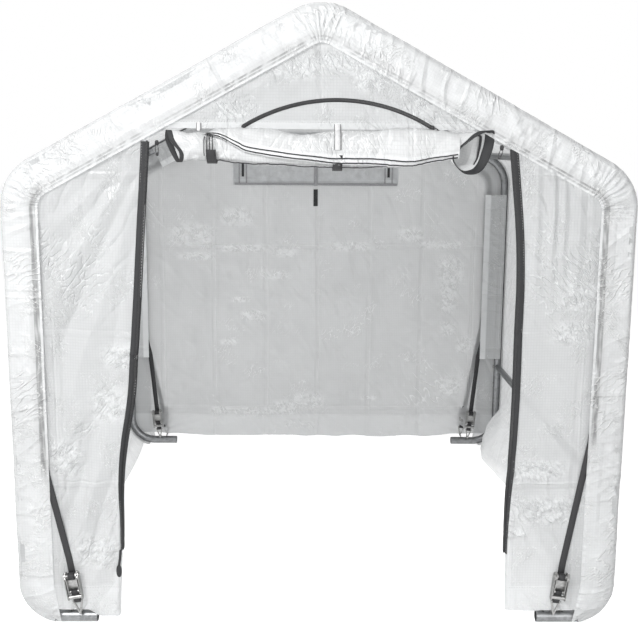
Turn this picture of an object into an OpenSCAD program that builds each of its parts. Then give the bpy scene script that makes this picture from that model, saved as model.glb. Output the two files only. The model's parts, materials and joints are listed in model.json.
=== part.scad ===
// Walk-in polytunnel greenhouse: two bent-tube ribs tied by five rails, a film cover
// strapped over them, a front panel with a rolled-up door and a rear panel with a vent.
// Millimetres. The front faces -Y, +X is to the right of someone facing it, floor at z = 0.

/* [Frame] */
// Width over the legs
frame_w = 1830; // [1500:10:2400]
// Length over the two ribs
frame_l = 1830; // [1500:10:3600]
// Height where the leg and rafter centrelines cross
eave_h = 1360; // [1150:5:1700]
// Height where the two rafter centrelines cross
ridge_h = 1850; // [1650:5:2300]
// Tube diameter
tube_d = 35; // [28:1:45]
// Tube wall
tube_wall = 1.5; // [1:0.1:2.5]
// Centreline radius of the foot bend
foot_bend_r = 110; // [80:5:150]
// Centreline radius of the eave bend
eave_bend_r = 140; // [110:5:200]
// Centreline radius of the peak bend
peak_bend_r = 140; // [110:5:200]
// Foot, from the outside of the leg to its open end
foot_reach = 235; // [225:5:400]
// Height of the joint between foot and leg
foot_joint_h = 270; // [200:5:330]
// Straight tube below the eave bend
eave_stub = 97; // [60:1:150]
// Straight tube each side of the peak bend
peak_arm = 120; // [60:5:200]
// Length of a swaged tube end
spigot_l = 60; // [40:1:80]
// Slip between a swaged end and the tube it enters
slip = 0.3; // [0.2:0.05:0.6]

/* [Rails] */
// Rail diameter
rail_d = 28; // [20:1:34]
// Height of the side rails
side_rail_h = 395; // [360:5:500]
// Eave rail, from the end of the eave bend along the rafter
eave_rail_up = 35; // [25:1:60]

/* [Feet] */
// Anchor hole diameter
anchor_hole_d = 10; // [8:0.5:14]
// Anchor hole, from the open end of the foot
anchor_inset = 22; // [15:1:40]
// Strap hook hole diameter
hook_hole_d = 12; // [10:0.5:14]
// Outer strap hook hole, from the open end of the foot
outer_hook_inset = 48; // [44:1:60]
// Inner strap hook hole, from the open end of the foot
inner_hook_inset = 78; // [70:1:95]

/* [Film] */
// Film thickness
film_t = 1.5; // [1:0.1:2.5]
// Clearance between pieces that lie on each other
gap = 0.3; // [0.2:0.05:0.5]
// Width of the cover's folded edge band on the two ends
band_w = 110; // [80:2:125]
// Sweep of the side walls round the foot bend
wall_wrap_angle = 65; // [30:1:70]
// Sweep of the edge bands round the foot bend
band_wrap_angle = 80; // [70:1:81]
// Lap of an end panel over its rib, outward from the tube centreline
panel_lap = 8; // [2:1:12]
// Height of the panels' lower hems
panel_hem_h = 46; // [44:1:80]
// Width of an end panel's return behind the rib
return_w = 93; // [60:1:110]
// Height of the lower end of the leg returns
return_low = 437; // [425:1:600]
// Height of the upper end of the leg returns
return_high = 1233; // [900:1:1245]

/* [Door] */
// Gable hem, from its middle to the edge band
door_half_w = 470; // [420:1:520]
// Left zip at the lower hem, from the centre
zip_left_low = 572; // [450:1:620]
// Left zip at the gable hem, outside the hem's end
zip_left_out = 35; // [10:1:90]
// Right zip at the lower hem, from the centre
zip_right_low = 566; // [450:1:620]
// Right zip at the gable hem, outside the hem's end
zip_right_out = 82; // [10:1:90]
// Height of the zips' lower ends
zip_low_h = 236; // [50:1:400]
// Zip tape width
zip_w = 24; // [16:1:40]
// Zip tape thickness
zip_t = 2.5; // [1.5:0.1:4]
// Depth of the rolled door
roll_depth = 78; // [50:1:80]
// Height of the rolled door
roll_h = 112; // [80:1:140]
// Sag of the rolled door at its middle
roll_sag = 10; // [0:1:40]
// Left end of the rolled door, inside the hem's end
roll_left_inset = 60; // [5:1:120]
// Right end of the rolled door, inside the hem's end
roll_right_inset = 5; // [5:1:120]
// Half-moon zip, from the gable hem up to its ends
moon_up = 22; // [10:1:40]
// Half-moon zip, from its ends up to its top
moon_rise = 76; // [50:1:90]
// Half-moon zip, its ends inside the hem's ends
moon_inset = 202; // [150:1:260]
// Half-moon zip, offset of its middle to the right
moon_x = 46; // [0:1:60]

/* [Rear window] */
// Window width
window_w = 740; // [400:5:780]
// Window height
window_h = 205; // [120:1:235]
// From the edge band down to the corners of the window's flap
window_clear = 14; // [8:1:60]
// Lap of the screen and flap over the window's edge
window_lap = 22; // [15:1:40]

/* [Straps] */
// Webbing width
web_w = 20; // [15:1:25]
// Webbing thickness
web_t = 1.5; // [1:0.1:2.5]
// Webbing, from the outside of the leg to where it leaves its pocket
web_x = 117; // [112:1:135]
// Height where the left cover straps leave their pockets
cover_strap_left_h = 470; // [400:1:650]
// Height where the right cover straps leave their pockets
cover_strap_right_h = 575; // [400:1:650]
// Height where the panel straps leave their pockets
panel_strap_h = 455; // [440:1:600]
// Length of webbing kept in the pocket
web_tail = 60; // [30:1:100]
// Ratchet frame width
ratchet_w = 34; // [30:1:44]
// Ratchet plate thickness
plate_t = 2; // [1.5:0.1:3]
// Spool diameter
spool_d = 14; // [10:0.5:16]
// Diameter of the webbing wound on the spool
wound_d = 22; // [18:0.5:26]
// Ratchet wheel diameter
wheel_d = 27; // [24:0.5:34]
// Teeth on a ratchet wheel
wheel_teeth = 11; // [8:1:16]
// Pawl thickness
pawl_t = 2.5; // [2:0.1:3]
// Pawl length
pawl_l = 18; // [12:1:22]
// Hook wire diameter
wire_d = 6; // [4:0.5:7]

/* [Hidden] */
$fn = 64;
// A bend swells by this much, so that the straight tubes lap into its ends
bend_swell = 0.05;
bend_lap = 1;
tube_r = tube_d / 2;
leg_x = frame_w / 2 - tube_r;
rib_y = frame_l / 2 - tube_r;
pitch = atan((ridge_h - eave_h) / leg_x);
foot_z = tube_r + bend_swell;
foot_c = foot_z + foot_bend_r;
foot_top = foot_z + tube_r;
foot_end_x = frame_w / 2 - foot_reach;
eave_c = eave_h - eave_bend_r * tan((90 - pitch) / 2);
ridge_c = ridge_h - peak_bend_r / cos(pitch);
eave_joint_h = eave_c - eave_stub;
rafter_l = leg_x / cos(pitch) - eave_bend_r * tan((90 - pitch) / 2)
    - peak_bend_r * tan(pitch) - peak_arm;
spigot_r = tube_r - tube_wall - slip;
swage_taper = 3;
bend_steps = 8;

// Layers outward from a rib's outer face: panel, edge band, strap
panel_y = frame_l / 2 + gap;
band_y = panel_y + film_t + gap;
outer_web_y = band_y + film_t + gap + web_t / 2;
return_y = rib_y - tube_r - gap - film_t;
inner_web_y = return_y - gap - web_t / 2;
cover_in = tube_r + gap;
cover_out = cover_in + film_t;

// Heights taken from the lower edge of the band along the rafters
gable_hem_h = band_edge_z(door_half_w);
window_low = band_edge_z(window_w / 2 + window_lap) - window_clear - window_lap - window_h;

// Stations up a strap from its hook hole
loop_s = 44;
loop_y = (web_t - wire_d) / 2 - gap;
bolt_s = 80;
frame_s = 72;
spool_s = 130;
spool_y = -(wound_d / 2 + web_t / 2 + gap);
bolt_d = 8;
back_l = spool_s - wound_d / 2 - frame_s - 4;
wheel_x = ratchet_w / 2 + gap;
wheel_t = 3;
arm_x = wheel_x + wheel_t + gap;
arm_end_d = spool_d + 10;
grip_d = 12;
cheek_d = wheel_d + 1;
tooth_depth = 3;
pawl_bite = 1;
pawl_s = spool_s - wheel_d / 2 + pawl_bite;

// Tube work

module wall_ring(swell) {
    difference() {
        circle(r = tube_r + swell);
        circle(r = tube_r - tube_wall - swell);
    }
}

// A straight length l that leaves a bend at the origin
module pipe(l) {
    translate([0, 0, -bend_lap]) linear_extrude(l + bend_lap) wall_ring(0);
}

// The same, with its far end swaged to enter the next tube
module swaged_pipe(l) {
    bore = tube_r - tube_wall;
    rotate_extrude() polygon([
        [bore, -bend_lap], [tube_r, -bend_lap], [tube_r, l], [spigot_r, l + swage_taper],
        [spigot_r, l + spigot_l], [spigot_r - tube_wall, l + spigot_l],
        [spigot_r - tube_wall, l + swage_taper], [bore, l]
    ]);
}

// A bend in the XZ plane about the origin
module bend(r, from, sweep) {
    rotate([90, 0, 0]) rotate([0, 0, from]) rotate_extrude(angle = sweep)
        translate([r, 0]) wall_ring(bend_swell);
}

module front() {
    translate([0, -rib_y, 0]) children();
}

module rear() {
    mirror([0, 1, 0]) front() children();
}

module left() {
    mirror([1, 0, 0]) children();
}

module foot() {
    difference() {
        union() {
            translate([leg_x - foot_bend_r, 0, foot_z]) rotate([0, -90, 0])
                pipe(leg_x - foot_bend_r - foot_end_x);
            translate([leg_x - foot_bend_r, 0, foot_c]) bend(foot_bend_r, -90, 90);
            translate([leg_x, 0, foot_c]) swaged_pipe(foot_joint_h - foot_c);
        }
        translate([foot_end_x + anchor_inset, 0, foot_z])
            cylinder(d = anchor_hole_d, h = 2 * tube_d, center = true);
        for (inset = [outer_hook_inset, inner_hook_inset])
            translate([foot_end_x + inset, 0, foot_z]) cylinder(d = hook_hole_d, h = tube_d);
    }
}

module leg() {
    translate([leg_x, 0, foot_joint_h]) linear_extrude(eave_joint_h - foot_joint_h) wall_ring(0);
}

module eave_end(along) {
    translate([leg_x - eave_bend_r, 0, eave_c]) rotate([0, pitch - 90, 0])
        translate([eave_bend_r, 0, along]) children();
}

module rafter() {
    translate([leg_x, 0, eave_c]) rotate([180, 0, 0]) swaged_pipe(eave_stub);
    translate([leg_x - eave_bend_r, 0, eave_c]) bend(eave_bend_r, 0, 90 - pitch);
    eave_end(0) pipe(rafter_l);
}

module peak() {
    translate([0, 0, ridge_c]) {
        bend(peak_bend_r, 90 - pitch, 2 * pitch);
        for (side = [0, 1]) mirror([side, 0, 0])
            rotate([0, pitch - 90, 0]) translate([peak_bend_r, 0, 0]) rotate([180, 0, 0])
                swaged_pipe(peak_arm);
    }
}

// A rail along Y with its ends coped to the two ribs, which children() cut
module coped_rail() {
    difference() {
        translate([0, rib_y, 0]) rotate([90, 0, 0]) linear_extrude(2 * rib_y) difference() {
            circle(d = rail_d);
            circle(d = rail_d - 2 * tube_wall);
        }
        for (y = [-rib_y, rib_y]) translate([0, y, 0]) children();
    }
}

module cope() {
    cylinder(r = tube_r + gap, h = 4 * tube_d, center = true);
}

module ridge_rail() {
    translate([0, 0, ridge_c + peak_bend_r]) coped_rail()
        translate([0, 0, -peak_bend_r]) rotate([90, 0, 0]) rotate([0, 0, 60])
            rotate_extrude(angle = 60) translate([peak_bend_r, 0]) circle(r = tube_r + gap);
}

module eave_rail() {
    eave_end(eave_rail_up) coped_rail() cope();
}

module side_rail() {
    translate([leg_x, 0, side_rail_h]) coped_rail() cope();
}

// Film work

function arc(cx, cz, r, from, to) = [
    for (i = [0 : bend_steps]) let (a = from + (to - from) * i / bend_steps)
        [cx + r * cos(a), cz + r * sin(a)]
];

function wall_path(d, tuck) = arc(leg_x - foot_bend_r, foot_c, foot_bend_r + d, -tuck, 0);

function roof_path(d) = concat(
    arc(leg_x - eave_bend_r, eave_c, eave_bend_r + d, 0, 90 - pitch),
    arc(0, ridge_c, peak_bend_r + d, 90 - pitch, 90)
);

function half_path(d, tuck) = concat(wall_path(d, tuck), roof_path(d));

// Height of the band's inner edge along a rafter
function band_edge_z(x) = ridge_h + (cover_out - band_w) / cos(pitch) - x * tan(pitch);

function reversed(p) = [for (i = [len(p) - 1 : -1 : 0]) p[i]];

// The whole outline at a distance d outside the rib's centreline, without a repeated apex
function outline(d, tuck) = let (p = half_path(d, tuck)) concat(
    p, [for (i = [len(p) - 2 : -1 : 0]) [-p[i][0], p[i][1]]]
);

// Sweep of the outline at which it comes down to height h
function tuck_at(d, h) = asin((foot_c - h) / (foot_bend_r + d));

// Stands a profile drawn in X and Z between y0 and y1
module slab(y0, y1) {
    translate([0, y1, 0]) rotate([90, 0, 0]) linear_extrude(y1 - y0) children();
}

module wall_cover() {
    slab(-band_y, band_y) polygon(concat(
        wall_path(cover_out, wall_wrap_angle), [[leg_x + cover_out, eave_c], [leg_x + cover_in, eave_c]],
        reversed(wall_path(cover_in, wall_wrap_angle))
    ));
}

module roof_cover() {
    slab(-band_y, band_y)
        polygon(concat(roof_path(cover_out), reversed(roof_path(cover_in))));
}

module front_cover_band() {
    slab(-band_y - film_t, -band_y) polygon(concat(
        outline(cover_out, band_wrap_angle), reversed(outline(cover_out - band_w, band_wrap_angle))
    ));
}

module front_panel_slab() {
    slab(-panel_y - film_t, -panel_y)
        polygon(outline(panel_lap, tuck_at(panel_lap, panel_hem_h)));
}

// The edge line of a door zip, on the right for side 1 and on the left for side -1
function zip_x(side, z) = let (
    low = side > 0 ? zip_right_low : zip_left_low,
    high = door_half_w + (side > 0 ? zip_right_out : zip_left_out)
) side * (low + (high - low) * (z - panel_hem_h) / (gable_hem_h - panel_hem_h));

function zip_strip(side, inner, outer, z0, z1) = [
    [zip_x(side, z0) + side * inner, z0], [zip_x(side, z0) + side * outer, z0],
    [zip_x(side, z1) + side * outer, z1], [zip_x(side, z1) + side * inner, z1]
];

module front_flap(side) {
    intersection() {
        front_panel_slab();
        slab(-frame_l, 0) polygon(zip_strip(side, 0, frame_w / 2, 0, ridge_h));
    }
}

module front_gable() {
    intersection() {
        front_panel_slab();
        slab(-frame_l, 0) polygon(concat(
            [[zip_x(-1, gable_hem_h) + gap, gable_hem_h], [zip_x(1, gable_hem_h) - gap, gable_hem_h]],
            [[zip_x(1, ridge_h) - gap, ridge_h + tube_d], [zip_x(-1, ridge_h) + gap, ridge_h + tube_d]]
        ));
    }
}

// Zip tape on the front of a flap, up to the lower edge of the cover's band
module door_zip(side) {
    face_y = panel_y + film_t + gap;
    top_z = band_edge_z(abs(zip_x(side, gable_hem_h)) + zip_w) - 2;
    slab(-face_y - zip_t, -face_y) polygon(zip_strip(side, 0, zip_w, zip_low_h, top_z));
}

module half_moon_zip() {
    half_w = door_half_w - moon_inset;
    r = (half_w * half_w + moon_rise * moon_rise) / (2 * moon_rise);
    half = asin(half_w / r);
    face_y = panel_y + film_t + gap;
    translate([moon_x, -face_y, gable_hem_h + moon_up + moon_rise - r])
        rotate([90, 0, 0]) rotate([0, 0, 90 - half])
            rotate_extrude(angle = 2 * half) translate([r - zip_w / 2, 0]) square([zip_w / 2, zip_t]);
}

// The rolled door: rings of points along X, closed by a fan at each end
module rolled_door() {
    rings = 14;
    points = 16;
    x0 = roll_left_inset - door_half_w;
    x1 = door_half_w - roll_right_inset;
    size_at = function (u) 1 - 0.3 * pow(abs(2 * u - 1), 6);
    top_at = function (u) roll_h / 2 * size_at(u) - roll_sag * sin(180 * u);
    mid_z = gable_hem_h - gap - max([for (i = [0 : rings]) top_at(i / rings)]);
    ring_at = function (i) let (u = i / rings) [
        for (j = [0 : points - 1]) let (a = 360 * j / points) [
            x0 + (x1 - x0) * u,
            -frame_l / 2 + roll_depth / 2 * size_at(u) * cos(a),
            mid_z - roll_sag * sin(180 * u) + roll_h / 2 * size_at(u) * sin(a)
        ]
    ];
    all = [for (i = [0 : rings]) each ring_at(i)];
    sides = [
        for (i = [0 : rings - 1], j = [0 : points - 1]) let (
            k = (j + 1) % points, a = i * points + j, b = i * points + k,
            c = a + points, d = b + points
        ) each [[a, b, c], [b, d, c]]
    ];
    ends = [
        for (j = [1 : points - 2]) each [
            [0, j + 1, j], [rings * points, rings * points + j, rings * points + j + 1]
        ]
    ];
    polyhedron(all, concat(sides, ends));
}

// Strips of an end panel that come back behind the front rib
module front_panel_returns() {
    for (side = [0, 1]) mirror([side, 0, 0]) {
        translate([leg_x - return_w, -return_y - film_t, return_low])
            cube([return_w + panel_lap, film_t, return_high - return_low]);
        eave_end(2 * eave_rail_up) translate([-return_w, -return_y - film_t, 0])
            cube([return_w + panel_lap, film_t, rafter_l - 3 * eave_rail_up]);
    }
}

module rear_panel() {
    difference() {
        mirror([0, 1, 0]) front_panel_slab();
        translate([-window_w / 2, 0, window_low]) cube([window_w, frame_l, window_h]);
    }
}

module window_sheet(y) {
    translate([-window_w / 2 - window_lap, y, window_low - window_lap])
        cube([window_w + 2 * window_lap, film_t, window_h + 2 * window_lap]);
}

module rear_window_screen() {
    window_sheet(panel_y - gap - film_t);
}

module rear_window_flap() {
    window_sheet(panel_y + film_t + gap);
}

// Strap work. A strap stands at the origin with its hook hole at z = 0 and runs up +Z;
// its outward side is -Y and the axis of the foot tube is at y = depth.

// Puts a strap at a front right corner
module outer_strap_at(top_h) {
    strap_at(outer_hook_inset, -outer_web_y, top_h) children();
}

module inner_strap_at() {
    strap_at(inner_hook_inset, -inner_web_y, panel_strap_h) mirror([0, 1, 0]) children();
}

module strap_at(inset, y, top_h) {
    x = foot_end_x + inset;
    translate([x, y, foot_top]) rotate([0, atan2(frame_w / 2 - web_x - x, top_h - foot_top), 0])
        children();
}

function strap_l(inset, top_h) = norm([frame_w / 2 - web_x - foot_end_x - inset, top_h - foot_top]);

module ends() {
    for (end = [0, 1]) mirror([0, end, 0]) children();
}

// Every strap position of the shelter, for pieces that are alike on all of them
module all_straps() {
    ends() {
        outer_strap_at(cover_strap_right_h) children(0);
        left() outer_strap_at(cover_strap_left_h) children(0);
        inner_strap_at() children(1);
        left() inner_strap_at() children(1);
    }
}

module webbing(l) {
    translate([-web_w / 2, -web_t / 2, spool_s]) cube([web_w, web_t, l + web_tail - spool_s]);
    translate([0, spool_y, spool_s]) rotate([0, 90, 0]) difference() {
        cylinder(d = wound_d, h = web_w, center = true);
        cylinder(d = spool_d + 2 * gap, h = 2 * web_w, center = true);
    }
    link_l = norm([spool_y - loop_y, bolt_s - loop_s]);
    translate([0, loop_y, loop_s]) rotate([atan2(loop_y - spool_y, bolt_s - loop_s), 0, 0])
        translate([-web_w / 2, -web_t / 2, wire_d / 2 + gap])
            cube([web_w, web_t, link_l - wire_d / 2 - bolt_d / 2 - 2 * gap]);
}

module cover_straps() {
    ends() {
        outer_strap_at(cover_strap_right_h) webbing(strap_l(outer_hook_inset, cover_strap_right_h));
        left() outer_strap_at(cover_strap_left_h)
            webbing(strap_l(outer_hook_inset, cover_strap_left_h));
    }
}

module panel_straps() {
    ends() for (side = [0, 1]) mirror([side, 0, 0])
        inner_strap_at() webbing(strap_l(inner_hook_inset, panel_strap_h));
}

// A straight length of hook wire with a ball at its far end
module wire(from, to) {
    v = to - from;
    translate(from) rotate([0, acos(v[2] / norm(v)), atan2(v[1], v[0])]) cylinder(d = wire_d, h = norm(v));
    translate(to) sphere(d = wire_d + 0.4);
}

// A wire loop for the webbing whose point goes over the foot and down into its hole
module hook(depth) {
    neck = [0, loop_y, 1];
    shoulder = [0, 0.64 * depth, 6];
    bow = [0, depth, 7];
    half = web_w / 2 + wire_d / 2;
    wire([0, depth, -9], bow);
    wire(bow, shoulder);
    wire(shoulder, neck);
    for (side = [-1, 1]) wire(neck, [side * half, loop_y, loop_s]);
    wire([-half, loop_y, loop_s], [half, loop_y, loop_s]);
}

module strap_hooks() {
    all_straps() {
        hook(outer_web_y - rib_y);
        hook(rib_y - inner_web_y);
    }
}

// A flat shape drawn along the strap and outward from it, d wide at the spool and e at s
module side_plate(d, s, y, e) {
    rotate([0, 90, 0]) mirror([1, 0, 0]) linear_extrude(plate_t)
        polygon(concat(arc(spool_s, spool_y, d / 2, -90, 90), arc(s, y, e / 2, 90, 270)));
}

module spool_bore() {
    translate([0, spool_y, spool_s]) rotate([0, 90, 0])
        cylinder(d = spool_d + 2 * gap, h = 4 * arm_x, center = true);
}

// The pawl's plate, which passes through both cheeks and bites between the wheels' teeth
module pawl(clear) {
    reach = wheel_x + wheel_t;
    translate([-reach - clear, spool_y - pawl_t / 2 - clear, pawl_s - pawl_l - clear])
        cube([2 * reach, pawl_t, pawl_l] + 2 * clear * [1, 1, 1]);
}

module ratchet_frame() {
    back_y = -web_t / 2 - gap - plate_t;
    difference() {
        union() {
            for (x = [-ratchet_w / 2, ratchet_w / 2 - plate_t]) translate([x, 0, 0]) {
                side_plate(cheek_d, bolt_s, spool_y, bolt_d + 8);
                translate([0, spool_y, frame_s]) cube([plate_t, back_y + plate_t - spool_y, back_l]);
            }
            translate([-ratchet_w / 2, back_y, frame_s]) cube([ratchet_w, plate_t, back_l]);
            translate([0, spool_y, bolt_s]) rotate([0, 90, 0])
                cylinder(d = bolt_d, h = ratchet_w - plate_t, center = true);
        }
        spool_bore();
        pawl(gap);
        translate([-ratchet_w, back_y + plate_t, 0]) cube([2 * ratchet_w, wheel_d, 2 * spool_s]);
    }
    pawl(0);
}

module ratchet_spool() {
    length = 2 * (arm_x + plate_t + 2);
    translate([0, spool_y, spool_s]) rotate([0, 90, 0]) {
        difference() {
            cylinder(d = spool_d, h = length, center = true);
            cube([2 * spool_d, web_t + 2 * gap, web_w + 2 * gap], center = true);
        }
        for (x = [-wheel_x - wheel_t, wheel_x]) translate([0, 0, x])
            linear_extrude(wheel_t) rotate(-0.35 * 360 / wheel_teeth) polygon([
                for (i = [0 : wheel_teeth - 1], root = [0, 1]) let (
                    a = 360 * (i + 0.35 * root) / wheel_teeth, r = wheel_d / 2 - tooth_depth * root
                ) [r * cos(a), r * sin(a)]
            ]);
    }
}

module ratchet_handle() {
    grip_s = frame_s - grip_d / 2 - 3;
    grip_y = spool_y - 3;
    difference() {
        for (x = [-arm_x - plate_t, arm_x]) translate([x, 0, 0])
            side_plate(arm_end_d, grip_s, grip_y, grip_d + 6);
        spool_bore();
    }
    translate([0, grip_y, grip_s]) rotate([0, 90, 0])
        cylinder(d = grip_d, h = 2 * arm_x + plate_t, center = true);
}

module ratchet_frames() {
    all_straps() {
        ratchet_frame();
        ratchet_frame();
    }
}

module ratchet_spools() {
    all_straps() {
        ratchet_spool();
        ratchet_spool();
    }
}

module ratchet_handles() {
    all_straps() {
        ratchet_handle();
        ratchet_handle();
    }
}

// Colours

module steel() {
    color([0.62, 0.63, 0.65]) children();
}

module film() {
    color([0.93, 0.95, 0.96, 0.75]) children();
}

module black() {
    color([0.12, 0.12, 0.13]) children();
}

module front_left_foot() {
    steel() front() left() foot();
}

module front_right_foot() {
    steel() front() foot();
}

module rear_left_foot() {
    steel() rear() left() foot();
}

module rear_right_foot() {
    steel() rear() foot();
}

module front_left_leg() {
    steel() front() left() leg();
}

module front_right_leg() {
    steel() front() leg();
}

module rear_left_leg() {
    steel() rear() left() leg();
}

module rear_right_leg() {
    steel() rear() leg();
}

module front_left_rafter() {
    steel() front() left() rafter();
}

module front_right_rafter() {
    steel() front() rafter();
}

module rear_left_rafter() {
    steel() rear() left() rafter();
}

module rear_right_rafter() {
    steel() rear() rafter();
}

front_left_foot();
front_right_foot();
rear_left_foot();
rear_right_foot();
front_left_leg();
front_right_leg();
rear_left_leg();
rear_right_leg();
front_left_rafter();
front_right_rafter();
rear_left_rafter();
rear_right_rafter();
steel() front() peak();  // front_peak
steel() rear() peak();  // rear_peak
steel() ridge_rail();
steel() left() eave_rail();  // left_eave_rail
steel() eave_rail();  // right_eave_rail
steel() left() side_rail();  // left_side_rail
steel() side_rail();  // right_side_rail
film() left() wall_cover();  // left_wall_cover
film() left() roof_cover();  // left_roof_cover
film() roof_cover();  // right_roof_cover
film() wall_cover();  // right_wall_cover
film() front_cover_band();
film() mirror([0, 1, 0]) front_cover_band();  // rear_cover_band
film() front_flap(-1);  // front_left_flap
film() front_flap(1);  // front_right_flap
film() front_gable();
black() door_zip(-1);  // left_door_zip
black() door_zip(1);  // right_door_zip
black() half_moon_zip();
film() rolled_door();
film() front_panel_returns();
film() rear_panel();
black() rear_window_screen();
film() rear_window_flap();
film() mirror([0, 1, 0]) front_panel_returns();  // rear_panel_returns
black() cover_straps();
black() panel_straps();
steel() strap_hooks();
steel() ratchet_frames();
steel() ratchet_spools();
steel() ratchet_handles();
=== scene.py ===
import json
import math

import bpy
import numpy as np
from mathutils import Matrix, Vector


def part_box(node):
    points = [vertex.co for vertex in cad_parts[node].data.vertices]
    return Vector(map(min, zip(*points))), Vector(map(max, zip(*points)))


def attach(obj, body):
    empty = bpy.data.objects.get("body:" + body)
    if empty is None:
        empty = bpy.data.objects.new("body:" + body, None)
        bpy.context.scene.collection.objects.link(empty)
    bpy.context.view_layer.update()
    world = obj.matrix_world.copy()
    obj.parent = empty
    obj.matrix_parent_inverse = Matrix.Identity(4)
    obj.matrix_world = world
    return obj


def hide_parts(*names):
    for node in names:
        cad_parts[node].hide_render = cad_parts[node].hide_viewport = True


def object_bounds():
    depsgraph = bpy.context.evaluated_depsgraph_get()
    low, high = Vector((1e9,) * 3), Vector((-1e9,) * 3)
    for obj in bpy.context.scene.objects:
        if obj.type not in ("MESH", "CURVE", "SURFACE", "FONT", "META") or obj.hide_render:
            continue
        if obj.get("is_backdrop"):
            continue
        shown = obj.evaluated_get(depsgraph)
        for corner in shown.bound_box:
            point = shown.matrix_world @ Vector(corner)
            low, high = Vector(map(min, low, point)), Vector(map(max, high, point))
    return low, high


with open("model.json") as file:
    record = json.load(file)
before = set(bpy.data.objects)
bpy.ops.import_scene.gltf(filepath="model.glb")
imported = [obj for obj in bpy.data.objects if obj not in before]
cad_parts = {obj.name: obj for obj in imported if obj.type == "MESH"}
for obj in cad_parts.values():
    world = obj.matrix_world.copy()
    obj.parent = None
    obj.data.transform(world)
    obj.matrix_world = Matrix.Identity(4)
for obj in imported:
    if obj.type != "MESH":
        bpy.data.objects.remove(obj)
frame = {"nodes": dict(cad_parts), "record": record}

bl_info = {
    "name": "Polytunnel greenhouse",
    "version": (1, 0, 0),
    "blender": (4, 5, 0),
    "location": "3D View > Sidebar > Greenhouse",
    "description": "Dresses the packed greenhouse with its film, zips, straps and finishes",
    "category": "Object",
}

CAD_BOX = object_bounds()

# Ends along Y and sides along X, by their signs
FRONT, REAR, LEFT, RIGHT = -1, 1, -1, 1
END_NAME = {FRONT: "front", REAR: "rear"}
SIDE_NAME = {LEFT: "left", RIGHT: "right"}
# The way that the doorway faces
FORWARD = (0, -1, 0)
AXES = np.eye(3)

# Rib and rails, in metres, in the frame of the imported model
LEG_LOW, LEG_HIGH = (Vector(corner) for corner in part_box("front_right_leg"))
TUBE_R = (LEG_HIGH.x - LEG_LOW.x) / 2
LEG_X = (LEG_HIGH.x + LEG_LOW.x) / 2
RIB_Y = -(LEG_HIGH.y + LEG_LOW.y) / 2
FOOT_R, EAVE_R, PEAK_R = 0.110, 0.140, 0.140
EAVE_H, RIDGE_H = 1.360, 1.850
PITCH = math.atan((RIDGE_H - EAVE_H) / LEG_X)
FOOT_Z = TUBE_R + 0.00005
FOOT_C = FOOT_Z + FOOT_R
EAVE_C = EAVE_H - EAVE_R * math.tan((math.pi / 2 - PITCH) / 2)
RIDGE_C = RIDGE_H - PEAK_R / math.cos(PITCH)
SIDE_RAIL_H = 0.395
# Points on each bend of a rib
ARC_STEPS = 24

# Film at an end: distances outside the rib's line, and layers outward from the rib
COVER_OFF = TUBE_R + 0.0015
BAND_W, BAND_LAP = 0.110, 0.030
PANEL_OFF = 0.008
PANEL_TOP = RIDGE_C + PEAK_R + PANEL_OFF - 0.002
PANEL_Y = RIB_Y + TUBE_R + 0.0012
POCKET_Y = RIB_Y + TUBE_R + 0.0049
BAND_Y = RIB_Y + TUBE_R + 0.0048
RETURN_Y, RETURN_W = RIB_Y - TUBE_R - 0.0012, 0.101
FLAP_LOW, FLAP_TOP, FLAP_HEM_LINE = 0.030, 1.585, 0.125
GABLE_HEM_H = 1.503
REAR_LOW, REAR_HEM_LINE = 0.034, 0.143

# Half-moon vent in the gable: middle, top, half-width and rise
MOON_X, MOON_TOP, MOON_HALF, MOON_RISE = 0.046, 1.588, 0.268, 0.076

# Rear window: half-width, lower and upper edge, and the lap round its opening
WINDOW_HALF, WINDOW_LOW, WINDOW_TOP, WINDOW_LAP = 0.370, 1.292, 1.497, 0.022

# Edges of the two front flaps, where the door's zips run: distance from the middle at a height
ZIP_LINE = {
    LEFT: ((0.02, 0.606), (0.242, 0.596), (0.392, 0.589), (0.493, 0.583), (0.590, 0.568), (0.746, 0.538),
           (0.983, 0.517), (1.261, 0.499), (1.450, 0.486), (1.62, 0.476)),
    RIGHT: ((0.02, 0.580), (0.238, 0.571), (0.412, 0.567), (0.510, 0.569), (0.684, 0.571), (0.947, 0.569),
            (1.077, 0.569), (1.231, 0.560), (1.449, 0.536), (1.62, 0.514)),
}
# Heights of a door zip's two ends, and the height above which the gable's edge no longer follows its line
ZIP_ENDS = {LEFT: (0.236, 1.466), RIGHT: (0.232, 1.452)}
ZIP_LINE_TOP = 1.6

# Hooked straps: holes in the foot, place of the webbing and height where it enters its pocket
FOOT_END_X = 0.680
FOOT_TOP = FOOT_Z + TUBE_R
STRAP_TOP_X = 0.798
POCKET_X = STRAP_TOP_X + 0.016
OUTER_HOLE_X, INNER_HOLE_X = FOOT_END_X + 0.048, FOOT_END_X + 0.078
OUTER_WEB_Y, INNER_WEB_Y = 0.91965, 0.87715
STRAP_TOP_H = {LEFT: 0.470, RIGHT: 0.575}
INNER_TOP_H = 0.455

# Along and out from a strap's hole: the ratchet's spool and bolt, and the hook's loop
SPOOL_S, SPOOL_OUT, BOLT_S, LOOP_S, LOOP_OUT = 0.130, 0.01205, 0.080, 0.044, 0.00255
# Half the thickness of the doubled webbing between that loop and that bolt
LINK_R = 0.0044


# Settings

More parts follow.
